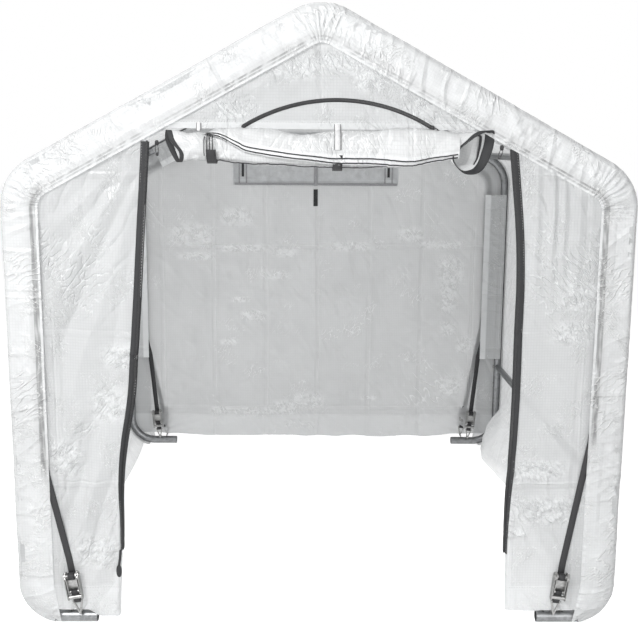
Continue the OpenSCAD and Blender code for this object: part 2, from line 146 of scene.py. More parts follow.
class FilmSettings(bpy.types.PropertyGroup):
    colour: bpy.props.FloatVectorProperty(
        name="Film", description="Colour of the milky film", subtype="COLOR", size=3, min=0, max=1,
        default=(0.80, 0.81, 0.815))
    clear: bpy.props.FloatProperty(
        name="Clearness", description="Share of light that goes straight through one layer", subtype="FACTOR",
        default=0.11, min=0, max=1)
    gloss: bpy.props.FloatProperty(
        name="Roughness", description="Roughness of the film's skin", subtype="FACTOR",
        default=0.20, min=0, max=1)
    billow: bpy.props.FloatProperty(
        name="Billow", description="Depth of the slow waves in slack film", unit="LENGTH", default=0.006)
    crinkle: bpy.props.FloatProperty(
        name="Crinkle", description="Depth of the sharp crinkles", unit="LENGTH", default=0.0042)
    crease: bpy.props.FloatProperty(
        name="Packing crease", description="Height of the creases left by packing", unit="LENGTH",
        default=0.0034)
    rip_pitch: bpy.props.FloatProperty(
        name="Ripstop", description="Distance between the reinforcing threads", unit="LENGTH", default=0.0085)


class ZipSettings(bpy.types.PropertyGroup):
    colour: bpy.props.FloatVectorProperty(
        name="Tape", description="Colour of the zip tape", subtype="COLOR", size=3, min=0, max=1,
        default=(0.019, 0.0195, 0.021))
    width: bpy.props.FloatProperty(
        name="Tape width", description="Width of a door zip", unit="LENGTH", default=0.024)
    pitch: bpy.props.FloatProperty(
        name="Tooth pitch", description="Distance between two teeth", unit="LENGTH", default=0.0042)


class StrapSettings(bpy.types.PropertyGroup):
    colour: bpy.props.FloatVectorProperty(
        name="Webbing", description="Colour of the webbing", subtype="COLOR", size=3, min=0, max=1,
        default=(0.015, 0.015, 0.0165))
    width: bpy.props.FloatProperty(
        name="Webbing width", description="Width of a strap", unit="LENGTH", default=0.020)
    thick: bpy.props.FloatProperty(
        name="Webbing thickness", description="Thickness of a strap", unit="LENGTH", default=0.0015)


class SteelSettings(bpy.types.PropertyGroup):
    tube: bpy.props.FloatVectorProperty(
        name="Tube", description="Colour of the galvanised tube", subtype="COLOR", size=3, min=0, max=1,
        default=(0.25, 0.255, 0.26))
    zinc: bpy.props.FloatVectorProperty(
        name="Zinc", description="Colour of the plated ratchets and hooks", subtype="COLOR", size=3,
        min=0, max=1, default=(0.36, 0.36, 0.355))


class StageSettings(bpy.types.PropertyGroup):
    place: bpy.props.FloatVectorProperty(
        name="Camera", description="Place of the camera", subtype="TRANSLATION", size=3,
        default=(-0.03609, -3.65375, 1.45839))
    lens: bpy.props.FloatProperty(name="Lens", description="Focal length in millimetres", default=53.75)
    tilt: bpy.props.FloatProperty(
        name="Tilt", description="Camera tilt, down", unit="ROTATION", default=0.1722)
    yaw: bpy.props.FloatProperty(
        name="Yaw", description="Camera turn to the right", unit="ROTATION", default=0.0123)
    roll: bpy.props.FloatProperty(name="Roll", description="Camera roll", unit="ROTATION", default=0.0075)
    sky: bpy.props.FloatProperty(name="Surround", description="Light of the white surround", default=0.28)
    key: bpy.props.FloatProperty(
        name="Key", description="Power of the key light", unit="POWER", default=180.0)
    fill: bpy.props.FloatProperty(
        name="Fill", description="Power of the fill light", unit="POWER", default=62.0)
    top: bpy.props.FloatProperty(
        name="Top", description="Power of the light above", unit="POWER", default=25.0)
    back: bpy.props.FloatProperty(
        name="Back", description="Power of the light behind", unit="POWER", default=20.0)


SETTINGS = {
    "greenhouse_film": FilmSettings, "greenhouse_zip": ZipSettings, "greenhouse_strap": StrapSettings,
    "greenhouse_steel": SteelSettings, "greenhouse_stage": StageSettings,
}


def setting(name):
    """One group of the scene's settings."""
    return getattr(bpy.context.scene, "greenhouse_" + name)


# Shape helpers

def noise(p, q, seed):
    """Smooth noise between about -1 and 1 over a plane, the same on every run."""
    p, q = np.broadcast_arrays(np.asarray(p, float), np.asarray(q, float))
    i, j = np.floor(p), np.floor(q)
    u, v = p - i, q - j

    def corner(a, b):
        h = np.sin((i + a) * 127.1 + (j + b) * 311.7 + seed * 74.7) * 43758.5453
        t = 2 * np.pi * (h - np.floor(h))
        return np.cos(t) * (u - a) + np.sin(t) * (v - b)

    su, sv = (w * w * w * (w * (w * 6 - 15) + 10) for w in (u, v))
    low = corner(0, 0) * (1 - su) + corner(1, 0) * su
    high = corner(0, 1) * (1 - su) + corner(1, 1) * su
    return 1.5 * (low * (1 - sv) + high * sv)


def step(low, high, x):
    """A smooth step from 0 at low to 1 at high, which may be the smaller of the two."""
    t = np.clip((x - low) / (high - low), 0, 1)
    return t * t * (3 - 2 * t)


def triangle(t):
    """A triangle wave between -1 and 1, with its low points at whole numbers."""
    return 1 - 2 * np.abs(2 * (t - np.floor(t)) - 1)


def crinkles(u, v, size, seed, lean=0.6, stretch=2.2):
    """Sharp ridges about a size apart that run mostly one way, branch and fade."""
    a, b = math.cos(lean), math.sin(lean)
    p, q = (u * a + v * b) / size, (v * a - u * b) / (size * stretch)
    bend = 0.5 * noise(0.6 * p, 0.6 * q, seed)
    h = 0
    for k, share in enumerate((0.65, 0.35)):
        n = noise(p * 2 ** k + bend + 7 * k, q * 2 ** k - bend, seed + 1 + k)
        h = h + share * np.maximum(0, 1 - 2.4 * np.abs(n)) ** 1.4
    return h - 0.3


def packing(u, v, pitch, seed):
    """Creases of film that was folded on a grid: a ridge, then a valley, and so on."""
    h = 0
    for axis, gap, k in ((u, pitch[0], 0), (v, pitch[1], 1)):
        near = (axis + 0.008 * noise(u / 0.22, v / 0.22, seed + k)) / gap
        side = np.where(np.round(near) % 2 == 0, 1.0, -1.0)
        strong = 0.55 + 0.6 * noise(u / 0.3 + 5 * k, v / 0.3, seed + 7 + k)
        h = h + side * strong * np.exp(-np.abs(near - np.round(near)) * gap / 0.010)
    return h


def film_relief(u, v, seed, billow=1.0, crinkle=1.0, crease=1.0, pitch=(0.25, 0.40)):
    """How far slack film stands off its cut shape at (u, v)."""
    s = setting("film")
    h = s.billow * billow * (noise(u / 0.34, v / 0.5, seed) + 0.45 * noise(u / 0.12, v / 0.19, seed + 1))
    rough = s.crinkle * crinkle
    patch = step(-0.15, 0.45, noise(u / 0.17, v / 0.12, seed + 2))
    small = step(0.0, 0.5, noise(u / 0.10 + 4, v / 0.08, seed + 4))
    h = h + rough * (0.25 + patch) * crinkles(u, v, 0.060, seed + 5, lean=0.5)
    h = h + 0.45 * rough * (0.15 + small) * crinkles(u, v, 0.026, seed + 9, lean=-0.7)
    h = h + 1.1 * rough * crinkles(u, v, 0.150, seed + 13, lean=1.1)
    return h + s.crease * crease * packing(u, v, pitch, seed + 20)


def smooth_line(points, n):
    """n points on a smooth curve through the given ones."""
    p = np.asarray(points, float)
    p = np.concatenate([[2 * p[0] - p[1]], p, [2 * p[-1] - p[-2]]])
    t = np.linspace(0, len(p) - 3 - 1e-9, n)
    i = np.floor(t).astype(int)
    f = (t - i)[:, None]
    a, b, c, d = (p[i + k] for k in range(4))
    return 0.5 * (2 * b + (c - a) * f + (2 * a - 5 * b + 4 * c - d) * f ** 2
                  + (3 * b - a - 3 * c + d) * f ** 3)


def smooth_at(table, at):
    """The second column of a table at places in its first, on a smooth curve."""
    line = smooth_line(table, 400)
    return np.interp(at, line[:, 0], line[:, 1])


def run(path):
    """Length along a path at each of its points."""
    return np.concatenate([[0], np.cumsum(np.linalg.norm(np.diff(path, axis=0), axis=1))])


def unit(v):
    """Vectors of length 1 that point the same way."""
    return v / np.maximum(np.linalg.norm(v, axis=-1, keepdims=True), 1e-9)


def even(path, n):
    """n points evenly spread along a path."""
    path = np.asarray(path, float)
    s = run(path)
    at = np.linspace(0, s[-1], n)
    return np.stack([np.interp(at, s, path[:, k]) for k in range(path.shape[1])], 1)


class RibLine:
    """The rib's centreline from the right foot over the peak to the left foot, with outward normals."""

    def __init__(self, wrap):
        rise = 90 - math.degrees(PITCH)
        bends = ((LEG_X - FOOT_R, FOOT_C, FOOT_R, -wrap, 0), (LEG_X - EAVE_R, EAVE_C, EAVE_R, 0, rise),
                 (0, RIDGE_C, PEAK_R, rise, 90))
        p, n = [], []
        for x, z, r, a, b in bends:
            t = np.radians(np.linspace(a, b, ARC_STEPS))
            out = np.stack([np.cos(t), np.sin(t)], 1)
            p.append(np.array([x, z]) + r * out)
            n.append(out)
        p, n = np.concatenate(p), np.concatenate(n)
        self.half = p, n
        p, n = (np.concatenate([w, w[-2::-1] * [-1, 1]]) for w in (p, n))
        self.s = run(p)
        self.p, self.n = p, n
        self.length = self.s[-1]
        self.eaves = [self.s[ARC_STEPS], self.s[2 * ARC_STEPS - 1]]

    def at(self, s, d):
        """x and z at a length s along the line and a distance d outside it."""
        return [np.interp(s, self.s, self.p[:, k]) + d * np.interp(s, self.s, self.n[:, k])
                for k in (0, 1)]

    def x_at(self, z, d):
        """Half-width at a height z of the outline at a distance d outside the line."""
        p = self.half[0] + d * self.half[1]
        return np.interp(z, p[:, 1], p[:, 0])

    def s_at(self, z):
        """Length along the line, from the right foot, at a height z on that side."""
        return np.interp(z, self.half[0][:, 1], self.s[:len(self.half[0])])

    def from_foot(self, s):
        """Length along the line from the nearer foot."""
        return np.minimum(s, self.length - s)


RIB = RibLine(wrap=80)


class Cloth:
    """Collects grids of points and makes one mesh of them. cut is each point's place on the flat piece
    in metres. ply is 0 for one layer of film, 1 for a hem, a little more for painted glints along a band's
    inner hem line, and below 0 for painted shade where webbing behind the film darkens it. worn is 1 where
    the film is crumpled, where its folds turn white, partly as painted highlight."""

    def __init__(self):
        self.points, self.cut, self.ply, self.worn, self.faces = [], [], [], [], []
        self.count = 0

    def grid(self, points, cut, ply=0.0, worn=0.0, keep=None, closed=False):
        """Adds a grid of points, joined up across if closed, with only the faces to keep if given."""
        nu, nv = points.shape[:2]
        index = np.arange(nu * nv).reshape(nu, nv)
        if closed:
            index = np.concatenate([index, index[:, :1]], 1)
        quads = np.stack([index[:-1, :-1], index[1:, :-1], index[1:, 1:], index[:-1, 1:]], -1)
        quads = quads[keep] if keep is not None else quads.reshape(-1, 4)
        self.faces.append(quads + self.count)
        self.points.append(points.reshape(-1, 3))
        self.cut.append(cut.reshape(-1, 2))
        self.ply.append(np.broadcast_to(ply, (nu, nv)).reshape(-1))
        self.worn.append(np.broadcast_to(worn, (nu, nv)).reshape(-1))
        self.count += nu * nv
        return self

    def band(self, path, across, facing, width, thick):
        """Adds a flat band along a path, by its outline in section at each point."""
        half, t = width / 2, thick / 2
        ring = [(-half, -t), (half, -t), (half + 0.4 * t, 0), (half, t), (-half, t), (-half - 0.4 * t, 0)]
        points = np.stack([path + across * a + facing * b for a, b in ring], 1)
        along = run(path)
        cut = np.stack([np.stack([along, np.full(len(along), a)], 1) for a, _ in ring], 1)
        return self.grid(points, cut, closed=True)

    def tape(self, path, facing, width, thick):
        """Adds a band whose flat side faces one way all along its path."""
        along = unit(np.gradient(path, axis=0))
        facing = unit(np.broadcast_to(np.asarray(facing, float), path.shape))
        across = unit(np.cross(along, facing))
        return self.band(path, across, unit(np.cross(across, along)), width, thick)

    def make(self, name, material):
        """One smooth mesh of all the grids, riding on the part's only body."""
        points, faces = np.concatenate(self.points), np.concatenate(self.faces)
        used, faces = np.unique(faces, return_inverse=True)
        mesh = bpy.data.meshes.new(name)
        mesh.from_pydata(points[used].tolist(), [], faces.reshape(-1, 4).tolist())
        cut = np.concatenate(self.cut)[used]
        place = mesh.attributes.new("cut", "FLOAT_VECTOR", "POINT")
        place.data.foreach_set("vector", np.concatenate([cut, np.zeros((len(cut), 1))], 1).ravel())
        for kind, values in (("ply", self.ply), ("worn", self.worn)):
            layer = mesh.attributes.new(kind, "FLOAT", "POINT")
            layer.data.foreach_set("value", np.concatenate(values)[used])
        mesh.materials.append(material)
        mesh.polygons.foreach_set("use_smooth", np.ones(len(mesh.polygons), bool))
        obj = bpy.data.objects.new(name, mesh)
        bpy.context.collection.objects.link(obj)
        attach(obj, "root")
        return obj


# Materials

class Finish:
    """The nodes of a new material, or of a given world, with the helpers that the finishes share."""

    def __init__(self, name, world=None):
        self.owner = world or bpy.data.materials.new(name)
        self.owner.use_nodes = True
        self.tree = self.owner.node_tree
        self.tree.nodes.clear()

    def node(self, kind, inputs=None, **fields):
        node = self.tree.nodes.new("ShaderNode" + kind)
        for name, value in fields.items():
            setattr(node, name, value)
        for name, value in (inputs or {}).items():
            socket = node.inputs[name]
            if isinstance(value, bpy.types.NodeSocket):
                self.tree.links.new(value, socket)
            else:
                socket.default_value = value
        return node

    def math(self, operation, *values):
        return self.node("Math", dict(enumerate(values)), operation=operation).outputs[0]

    def add(self, a, b):
        return self.math("ADD", a, b)

    def less(self, a, b):
        return self.math("SUBTRACT", a, b)

    def times(self, a, b):
        return self.math("MULTIPLY", a, b)

    def most(self, a, b):
        return self.math("MAXIMUM", a, b)

    def wave(self, axis, pitch):
        """Rounded ribs a pitch apart, from 0 to 1."""
        return self.math("ABSOLUTE", self.math("SINE", self.times(axis, math.pi / pitch)))

    def remap(self, value, low, high, least=0.0, most=1.0):
        """A value's range from low to high, spread over least to most."""
        ends = {"From Min": low, "From Max": high, "To Min": least, "To Max": most}
        return self.node("MapRange", {"Value": value, **ends}).outputs[0]

    def noise(self, place, scale, detail=2.0, rough=0.5):
        inputs = {"Vector": place, "Scale": scale, "Detail": detail, "Roughness": rough}
        return self.node("TexNoise", inputs).outputs["Fac"]

    def bump(self, height, strength, distance):
        inputs = {"Height": height, "Strength": strength, "Distance": distance}
        return self.node("Bump", inputs).outputs["Normal"]

    def layer(self, name):
        """One of the values that Cloth gives its points."""
        return self.node("Attribute", attribute_name=name).outputs["Fac"]

    def flat_place(self):
        """Where a point lies on its flat piece, and the two distances in that."""
        cut = self.node("Attribute", attribute_name="cut").outputs["Vector"]
        axes = self.node("SeparateXYZ", {"Vector": cut}).outputs
        return cut, axes[0], axes[1]

    def lines(self, axis, pitch, share):
        """1 on thin lines a pitch apart, 0 between them."""
        t = self.math("FRACT", self.math("DIVIDE", axis, pitch))
        return self.remap(self.math("ABSOLUTE", self.less(t, 0.5)), 0.5 - share, 0.5)

    def threads(self, u, v, pitch, share):
        """Thin lines a pitch apart both ways."""
        return self.most(self.lines(u, pitch, share), self.lines(v, pitch, share))

    def ramp(self, fac, *stops):
        node = self.node("ValToRGB", {"Fac": fac})
        ramp = node.color_ramp
        while len(ramp.elements) < len(stops):
            ramp.elements.new(0.5)
        for element, (at, colour) in zip(ramp.elements, stops):
            element.position, element.color = at, (*colour, 1)
        return node.outputs["Color"]

    def mix(self, share, first, second):
        return self.node("MixRGB", {0: share, 1: first, 2: second}).outputs[0]

    def blend(self, share, first, second):
        """Two shaders mixed by a share."""
        return self.node("MixShader", {0: share, 1: first, 2: second}).outputs[0]

    def skin(self, base, rough, **others):
        """A principled shader, with any other sockets by name."""
        inputs = {"Base Color": base, "Roughness": rough, **others}
        return self.node("BsdfPrincipled", inputs).outputs[0]

    def clear(self):
        return self.node("BsdfTransparent", {"Color": (1, 1, 1, 1)}).outputs[0]

    def out(self, shader):
        self.node("OutputMaterial", {"Surface": shader})
        return self.owner


def tone(colour, k):
    """A colour made k times as bright."""
    return tuple(min(1.0, c * k) for c in colour)


# The film's weave and creases: width of its woven tapes, half-width of a packing crease and the
# distance from a crease's ridge to its valley
FILM_TAPE, CREASE_HALF, CREASE_VALLEY = 0.0024, 0.006, 0.016
# Folds of crumpled film, broad to fine: turn, scale, height and where in the noise its spots start
FILM_FOLDS = ((1.9, 6.0, 0.30, 0.36), (2.2, 24.0, 0.26, 0.53), (1.1, 52.0, 0.15, 0.50))
PLAIN_FOLDS = (0.26, 0.46, 0.0, 0.0)


def film_finish(name, seed, clear=1.0, glow=0.46, shade=1.0, busy=0.0, folds=PLAIN_FOLDS, fine=1.0):
    """Milky film: a ripstop weave, creases from packing, and crumpled spots whose folds turn white. The
    creases' ridges turn white too, and both whitenings are partly painted highlight; each crease's valley
    is painted shade, and so is the film where webbing lies behind it (ply below 0).

    clear scales the setting's clearness and shade scales the film's colour, painted light and shade that
    make each copy of the film lighter or darker as it is lit. glow is the share of light that spreads
    through the film. busy widens the crumpled spots, folds gives the creases' pitch and shift both ways,
    and fine scales the pattern of the folds."""
    s = setting("film")
    f = Finish(name)
    cut, *axes = f.flat_place()
    ply, worn = f.layer("ply"), f.layer("worn")
    rip = f.threads(*axes, s.rip_pitch, 0.13)
    tapes = f.node("TexChecker", {"Vector": cut, "Scale": 1 / FILM_TAPE}).outputs["Fac"]
    shift = (seed * 1.7, seed * 2.3, seed)
    place = f.node("VectorMath", {0: cut, 1: shift}, operation="ADD").outputs[0]
    cloud = f.noise(place, 5.0, 4.0, 0.6)
    height = f.add(f.times(rip, 0.012), f.times(tapes, 0.006))
    whitening_and_highlights = painted_shade_and_threads = 0.0
    patchy = f.remap(cloud, 0.40, 0.60, 0.2)
    sway = f.times(f.less(cloud, 0.5), 0.02)
    # Packing creases: each ridge turns white, partly as painted highlight, and the valley beside it is
    # darkened as painted shade.
    for axis, gap, start in zip(axes, folds[:2], folds[2:]):
        line = f.add(f.less(axis, start), sway)
        ridge, valley = (f.times(f.lines(f.add(line, beside), gap, CREASE_HALF / gap), patchy)
                         for beside in (0.0, CREASE_VALLEY))
        height = f.add(f.add(height, f.times(ridge, 0.22)), f.times(valley, -0.14))
        whitening_and_highlights = f.most(whitening_and_highlights, f.times(ridge, 0.34))
        painted_shade_and_threads = f.most(painted_shade_and_threads, f.times(valley, 0.18))
    for turn, size, share, low in FILM_FOLDS:
        along = f.node("Mapping", {"Vector": place, "Rotation": (0, 0, turn), "Scale": (1.0, 0.40, 1.0)},
                       vector_type="TEXTURE").outputs[0]
        ridge = f.node("TexNoise", {"Vector": along, "Scale": size * fine, "Detail": 1.0, "Roughness": 0.5,
                                    "Offset": 1.0, "Gain": 1.0, "Distortion": 0.0},
                       noise_type="RIDGED_MULTIFRACTAL").outputs["Fac"]
        spots = f.noise(place, 0.22 * size * fine)
        mask = f.most(f.remap(spots, low - busy, low - busy + 0.12), worn)
        height = f.add(height, f.times(f.times(f.remap(ridge, 0.85, 1.45), share), mask))
        # Ridges of the finer folds turn white, partly as painted highlight.
        if size > FILM_FOLDS[0][1]:
            whitening_and_highlights = f.most(whitening_and_highlights, f.times(f.remap(ridge, 1.10, 1.40, 0.0, 0.85), mask))
    # Blots in crumpled spots turn white, partly as painted highlight.
    blots = f.remap(f.noise(place, 30.0, 4.0, 0.6), 0.43, 0.55, 0.0, 0.62)
    whitening_and_highlights = f.most(whitening_and_highlights, f.times(blots, worn))
    # Ripstop threads are darker in their own colour; painted shade where ply is below 0, where webbing lies
    # behind the film.
    painted_shade_and_threads = f.most(f.most(painted_shade_and_threads, f.times(rip, 0.20)), f.times(ply, -1.0))
    white = f.most(whitening_and_highlights, ply)
    # Painted light and shade: shade makes this copy of the film lighter or darker as it is lit.
    base = tone(s.colour, shade)
    plain = f.ramp(cloud, (0.25, tone(base, 0.95)), (0.75, tone(base, 1.06)))
    plain = f.mix(painted_shade_and_threads, plain, (*tone(base, 0.40), 1))
    colour = f.mix(white, plain, (*tone(base, 1.35), 1))
    rough = f.remap(cloud, 0.0, 1.0, s.gloss - 0.08, s.gloss + 0.06)
    bump = f.bump(height, 1.0, 0.010)
    through = f.node("BsdfTranslucent", {"Color": colour, "Normal": bump}).outputs[0]
    body = f.blend(glow, f.skin(colour, rough, Normal=bump, IOR=1.5), through)
    see = f.times(f.less(1.0, f.times(rip, 0.3)), s.clear * clear)
    see = f.times(see, f.less(1.0, f.times(white, 0.8)))
    return f.out(f.blend(see, body, f.clear()))


def woven_finish(name, colour, pitch, rough=0.75, sheen=0.0):
    """Narrow woven goods: ribs across the length, a twill of threads and a little dust. Its colour is
    painted lighter on the raised threads and darker between them, painted light and shade on the weave.
    """
    f = Finish(name)
    cut, along, across = f.flat_place()
    warp = f.wave(across, pitch)
    weft = f.wave(f.add(along, f.times(across, 0.6)), pitch * 0.8)
    dust = f.noise(cut, 90.0, 4.0)
    height = f.add(f.times(warp, 0.6), f.times(weft, 0.4))
    # Painted light and shade: the raised threads lighter and the grooves darker, varied at random by dust.
    shade = f.times(height, f.add(0.5, dust))
    base = f.ramp(shade, (0.1, tone(colour, 0.62)), (0.9, tone(colour, 1.35)))
    bump = f.bump(height, 0.5, 0.0004)
    return f.out(f.skin(base, rough, Normal=bump, **{"Sheen Weight": sheen}))


def steel_finish(name, colour, rough, spangle):
    """Zinc on steel: spangles, a fine grain and darker scuffs."""
    f = Finish(name)
    place = f.node("TexCoord").outputs["Object"]
    cells = f.node("TexVoronoi", {"Vector": place, "Scale": spangle}).outputs["Color"]
    shade = f.node("SeparateColor", {"Color": cells}).outputs[0]
    scuff = f.noise(place, 22.0, 6.0, 0.7)
    mix = f.add(f.times(shade, 0.35), f.times(scuff, 0.65))
    base = f.ramp(mix, (0.25, tone(colour, 0.72)), (0.55, colour), (0.85, tone(colour, 1.22)))
    gloss = f.remap(mix, 0.0, 1.0, rough - 0.09, rough + 0.14)
    bump = f.bump(f.add(f.noise(place, 420.0), scuff), 0.10, 0.0006)
    return f.out(f.skin(base, gloss, Normal=bump, Metallic=0.92))


def moulded_finish(name, colour, rough):
    """Moulded or painted parts with a fine orange peel and rubbed patches."""
    f = Finish(name)
    place = f.node("TexCoord").outputs["Object"]
    rub = f.noise(place, 60.0, 5.0)
    base = f.ramp(rub, (0.3, tone(colour, 0.8)), (0.7, tone(colour, 1.25)))
    gloss = f.remap(rub, 0.0, 1.0, rough - 0.1, rough + 0.1)
    return f.out(f.skin(base, gloss, Normal=f.bump(f.noise(place, 700.0), 0.12, 0.0004)))


def mesh_finish(name, colour, pitch):
    """Insect mesh: threads both ways with open holes between them."""
    f = Finish(name)
    cut, *axes = f.flat_place()
    solid = f.math("GREATER_THAN", f.threads(*axes, pitch, 0.22), 0.02)
    shade = f.noise(cut, 30.0)
    base = f.ramp(shade, (0.3, tone(colour, 0.85)), (0.7, tone(colour, 1.15)))
    return f.out(f.blend(solid, f.clear(), f.skin(base, 0.55)))


FINISHES = {}


def finish(name):
    """The named finish, made on first use from the settings."""
    if name not in FINISHES:
        tape, web, steel = setting("zip").colour, setting("strap").colour, setting("steel")
        make, *values = {
            # Each film's fourth value, shade, is painted light and shade: the band brighter as lit, the
            # panels, roll and returns darker, and the rear panel darkest, in the shade inside.
            "cover_film": (film_finish, 1, 1.0, 0.46, 0.95),
            "band_film": (film_finish, 2, 1.5, 0.26, 1.05, 0.02, (0.33, 9.0, 0.1, 0.0)),
            "panel_film": (film_finish, 4, 1.0, 0.46, 0.865, -0.015),
            "rear_film": (film_finish, 7, 0.8, 0.30, 0.73, -0.06, (0.25, 0.80, 0.02, 0.185), 0.5),
            "roll_film": (film_finish, 5, 0.4, 0.12, 0.82, 0.02, PLAIN_FOLDS, 0.6),
            "return_film": (film_finish, 9, 0.4, 0.12, 0.78),
            "zip_tape": (woven_finish, tape, 0.0016),
            "zip_teeth": (moulded_finish, tone(tape, 0.7), 0.42),
            "webbing": (woven_finish, web, 0.0019, 0.62, 0.05),
            "white_tape": (woven_finish, (0.58, 0.58, 0.585), 0.0016),
            "window_tape": (woven_finish, (0.30, 0.30, 0.31), 0.0016),
            "thread": (woven_finish, (0.72, 0.72, 0.72), 0.0006),
            "screen_mesh": (mesh_finish, (0.55, 0.56, 0.57), 0.0016),
            "dark_metal": (steel_finish, (0.050, 0.050, 0.052), 0.38, 300.0),
            "rib_tube": (steel_finish, steel.tube, 0.36, 95.0),
            "rail_tube": (steel_finish, tone(steel.tube, 1.08), 0.38, 110.0),
            "zinc_steel": (steel_finish, steel.zinc, 0.36, 260.0),
            "handle_steel": (steel_finish, tone(steel.zinc, 0.92), 0.34, 240.0),
        }[name]
        FINISHES[name] = make(name, *values)
    return FINISHES[name]


# Frame and hardware

def dress_steel():
    """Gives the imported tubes, rails, ratchets and hooks their finishes."""
    for part in frame["record"]["subparts"]:
        slot = part["material_slot"]
        if slot in ("rib_tube", "rail_tube", "zinc_steel", "handle_steel"):
            mesh = frame["nodes"][part["node"]].data
            mesh.materials.clear()
            mesh.materials.append(finish(slot))


# Cover and its edge bands

def between_ribs(y):
    """1 between the two ribs, falling to 0 at them."""
    return 1 - np.minimum(1, np.abs(y) / RIB_Y) ** 6


def cover_sag(s, y):
    """How far the cover hangs in between the ribs and rails."""
    eave_rail = RIB.eaves[1] + 0.035
    stops = [RIB.s_at(0.012), RIB.s_at(SIDE_RAIL_H), eave_rail, RIB.length / 2]
    span = np.interp(RIB.from_foot(s), stops, [0, 1, 2, 3])
    depth = np.interp(span, [0, 0.5, 1.5, 2.5, 3], [0.016, 0.016, 0.013, 0.017, 0.017])
    return between_ribs(y) * depth * np.abs(np.sin(math.pi * span))


# How far round a foot's bend the cover reaches
COVER_WRAP = math.radians(65)
# The right wall's loose foot: how much of the fold there is along the depth, and how far it leans in
# at each height
RIGHT_HANG = ((-0.92, 0.0), (-0.87, 0.0), (-0.70, 0.10), (-0.20, 0.12), (0.20, 0.20), (0.42, 0.60),
              (0.60, 1.0), (0.71, 0.95), (0.80, 0.45), (0.86, 0.03), (0.88, 0.0), (0.92, 0.0))
RIGHT_FOLD = ((0.0, 0.02, 0.05, 0.10, 0.146, 0.18, 0.21, 0.26),
              (0.040, 0.060, 0.096, 0.109, 0.095, 0.074, 0.036, 0.0))
# How far the left wall's foot leans in
LEFT_SLACK = 0.020


def make_cover():
    """The main cover, from foot to foot over the ribs and rails."""
    low = RIB.s_at(FOOT_C - FOOT_R * math.sin(COVER_WRAP))
    s = np.linspace(low, RIB.length - low, 400)
    y = np.linspace(-RIB_Y + 0.004, RIB_Y - 0.004, 106)
    S, Y = np.meshgrid(s, y, indexing="ij")
    pin = step(0.0, 0.10, RIB_Y - np.abs(Y))
    h = pin * film_relief(S, Y, 31, billow=0.8, pitch=(0.42, 0.46)) - cover_sag(S, Y)
    tug = np.exp(-(RIB_Y - np.abs(Y)) / 0.12) * pin
    h = h + 0.003 * tug * triangle(S / 0.11 + 0.8 * noise(S / 0.3, Y / 0.2, 3))
    X, Z = RIB.at(S, COVER_OFF + h)
    right = X - smooth_at(RIGHT_HANG, Y) * np.interp(Z, *RIGHT_FOLD)
    left = X + LEFT_SLACK * between_ribs(Y) * step(0.24, 0.0, Z)
    X = np.where(X > 0, right, left)
    hem = step(low + 0.05, low + 0.045, RIB.from_foot(S))
    cloth = Cloth().grid(np.stack([X, Y, Z], -1), np.stack([S, Y], -1), 0.6 * hem)
    obj = cloth.make("cover_sheet", finish("cover_film"))
    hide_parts("left_wall_cover", "left_roof_cover", "right_roof_cover", "right_wall_cover")


def band_bends():
    """Places along the rib where an edge band gathers, with how deep and how far."""
    eave = sum(RIB.eaves) / 2
    return (eave, 0.0062, 0.105), (RIB.length - eave, 0.0062, 0.105), (RIB.length / 2, 0.0045, 0.085)


def band_height(s, w, seed):
    """Relief of an edge band at a length s along the rib and w in from its outer edge."""
    inner = np.exp(-(BAND_W - w) / 0.032)
    ridge = 1 - np.abs(triangle(s / 0.060 + 0.9 * noise(s / 0.16, w / 0.2, seed)))
    h = 0.0055 * inner * ridge ** 1.5 * step(-0.3, 0.4, noise(s / 0.21, w / 0.3, seed + 1))
    for place, deep, reach in band_bends():
        near = np.exp(-np.abs((s - place) / reach) ** 4)
        at = (s - place) / 0.021 + 0.5 * noise(s / 0.05, w / 0.07, seed + 2)
        pleat = (1 - np.abs(triangle(at / 2))) ** 1.3
        h = h + deep * near * step(-0.01, 0.05, w) * pleat * (0.8 + 0.6 * noise(s / 0.021, 0 * w, seed + 8))
    slant = crinkles(s, w, 0.055, seed + 4, lean=-0.45, stretch=2.5)
    h = h + 0.0055 * step(-0.2, 0.35, noise(s / 0.20, w / 0.3, seed + 5)) * slant
    h = h + 0.9 * film_relief(s, w, seed + 6, billow=1.3, crinkle=0.85, crease=1.1, pitch=(0.33, 9.0)) + 0.001
    return h * (0.25 + 0.75 * step(0.015, 0.045, w))


# An edge band across: radius and length of its turn round the tube, and its whole reach from the cover
BAND_R = COVER_OFF + 0.0008
BAND_TURN = BAND_R * math.pi / 2
BAND_REACH = BAND_TURN + BAND_W - COVER_OFF


def band_section(w):
    """Distance outside the rib's line, y and turn of an edge band at w in from where it meets the cover:
    a quarter turn round the tube, then flat to its inner edge."""
    t = np.clip(w / BAND_TURN, 0, 1) * math.pi / 2
    flat = np.maximum(w - BAND_TURN, 0)
    y = RIB_Y + BAND_R * np.sin(t) + (BAND_Y - RIB_Y - BAND_R) * step(0, 0.05, flat)
    return BAND_R * np.cos(t) - flat, y, t


def hang_straight(s, w, x, z):
    """Lets the flat part of a band hang straight down past the foot's bend."""
    low = np.clip(1 - RIB.from_foot(s) / RIB.s_at(FOOT_C), 0, 1)
    share = np.clip((w - BAND_TURN) / (BAND_REACH - BAND_TURN), 0, 1)
    side = np.where(s < RIB.length / 2, 1.0, -1.0)
    edge_x = LEG_X + COVER_OFF - BAND_W - 0.020 * low
    edge_z = FOOT_C + (0.010 - FOOT_C) * low
    start_x, start_z = RIB.at(s, 0.0)
    hung = (low > 0) & (share > 0)
    x = np.where(hung, start_x + (side * edge_x - start_x) * share, x)
    z = np.where(hung, start_z + (edge_z - start_z) * share, z)
    return x, np.maximum(z, 0.0008)


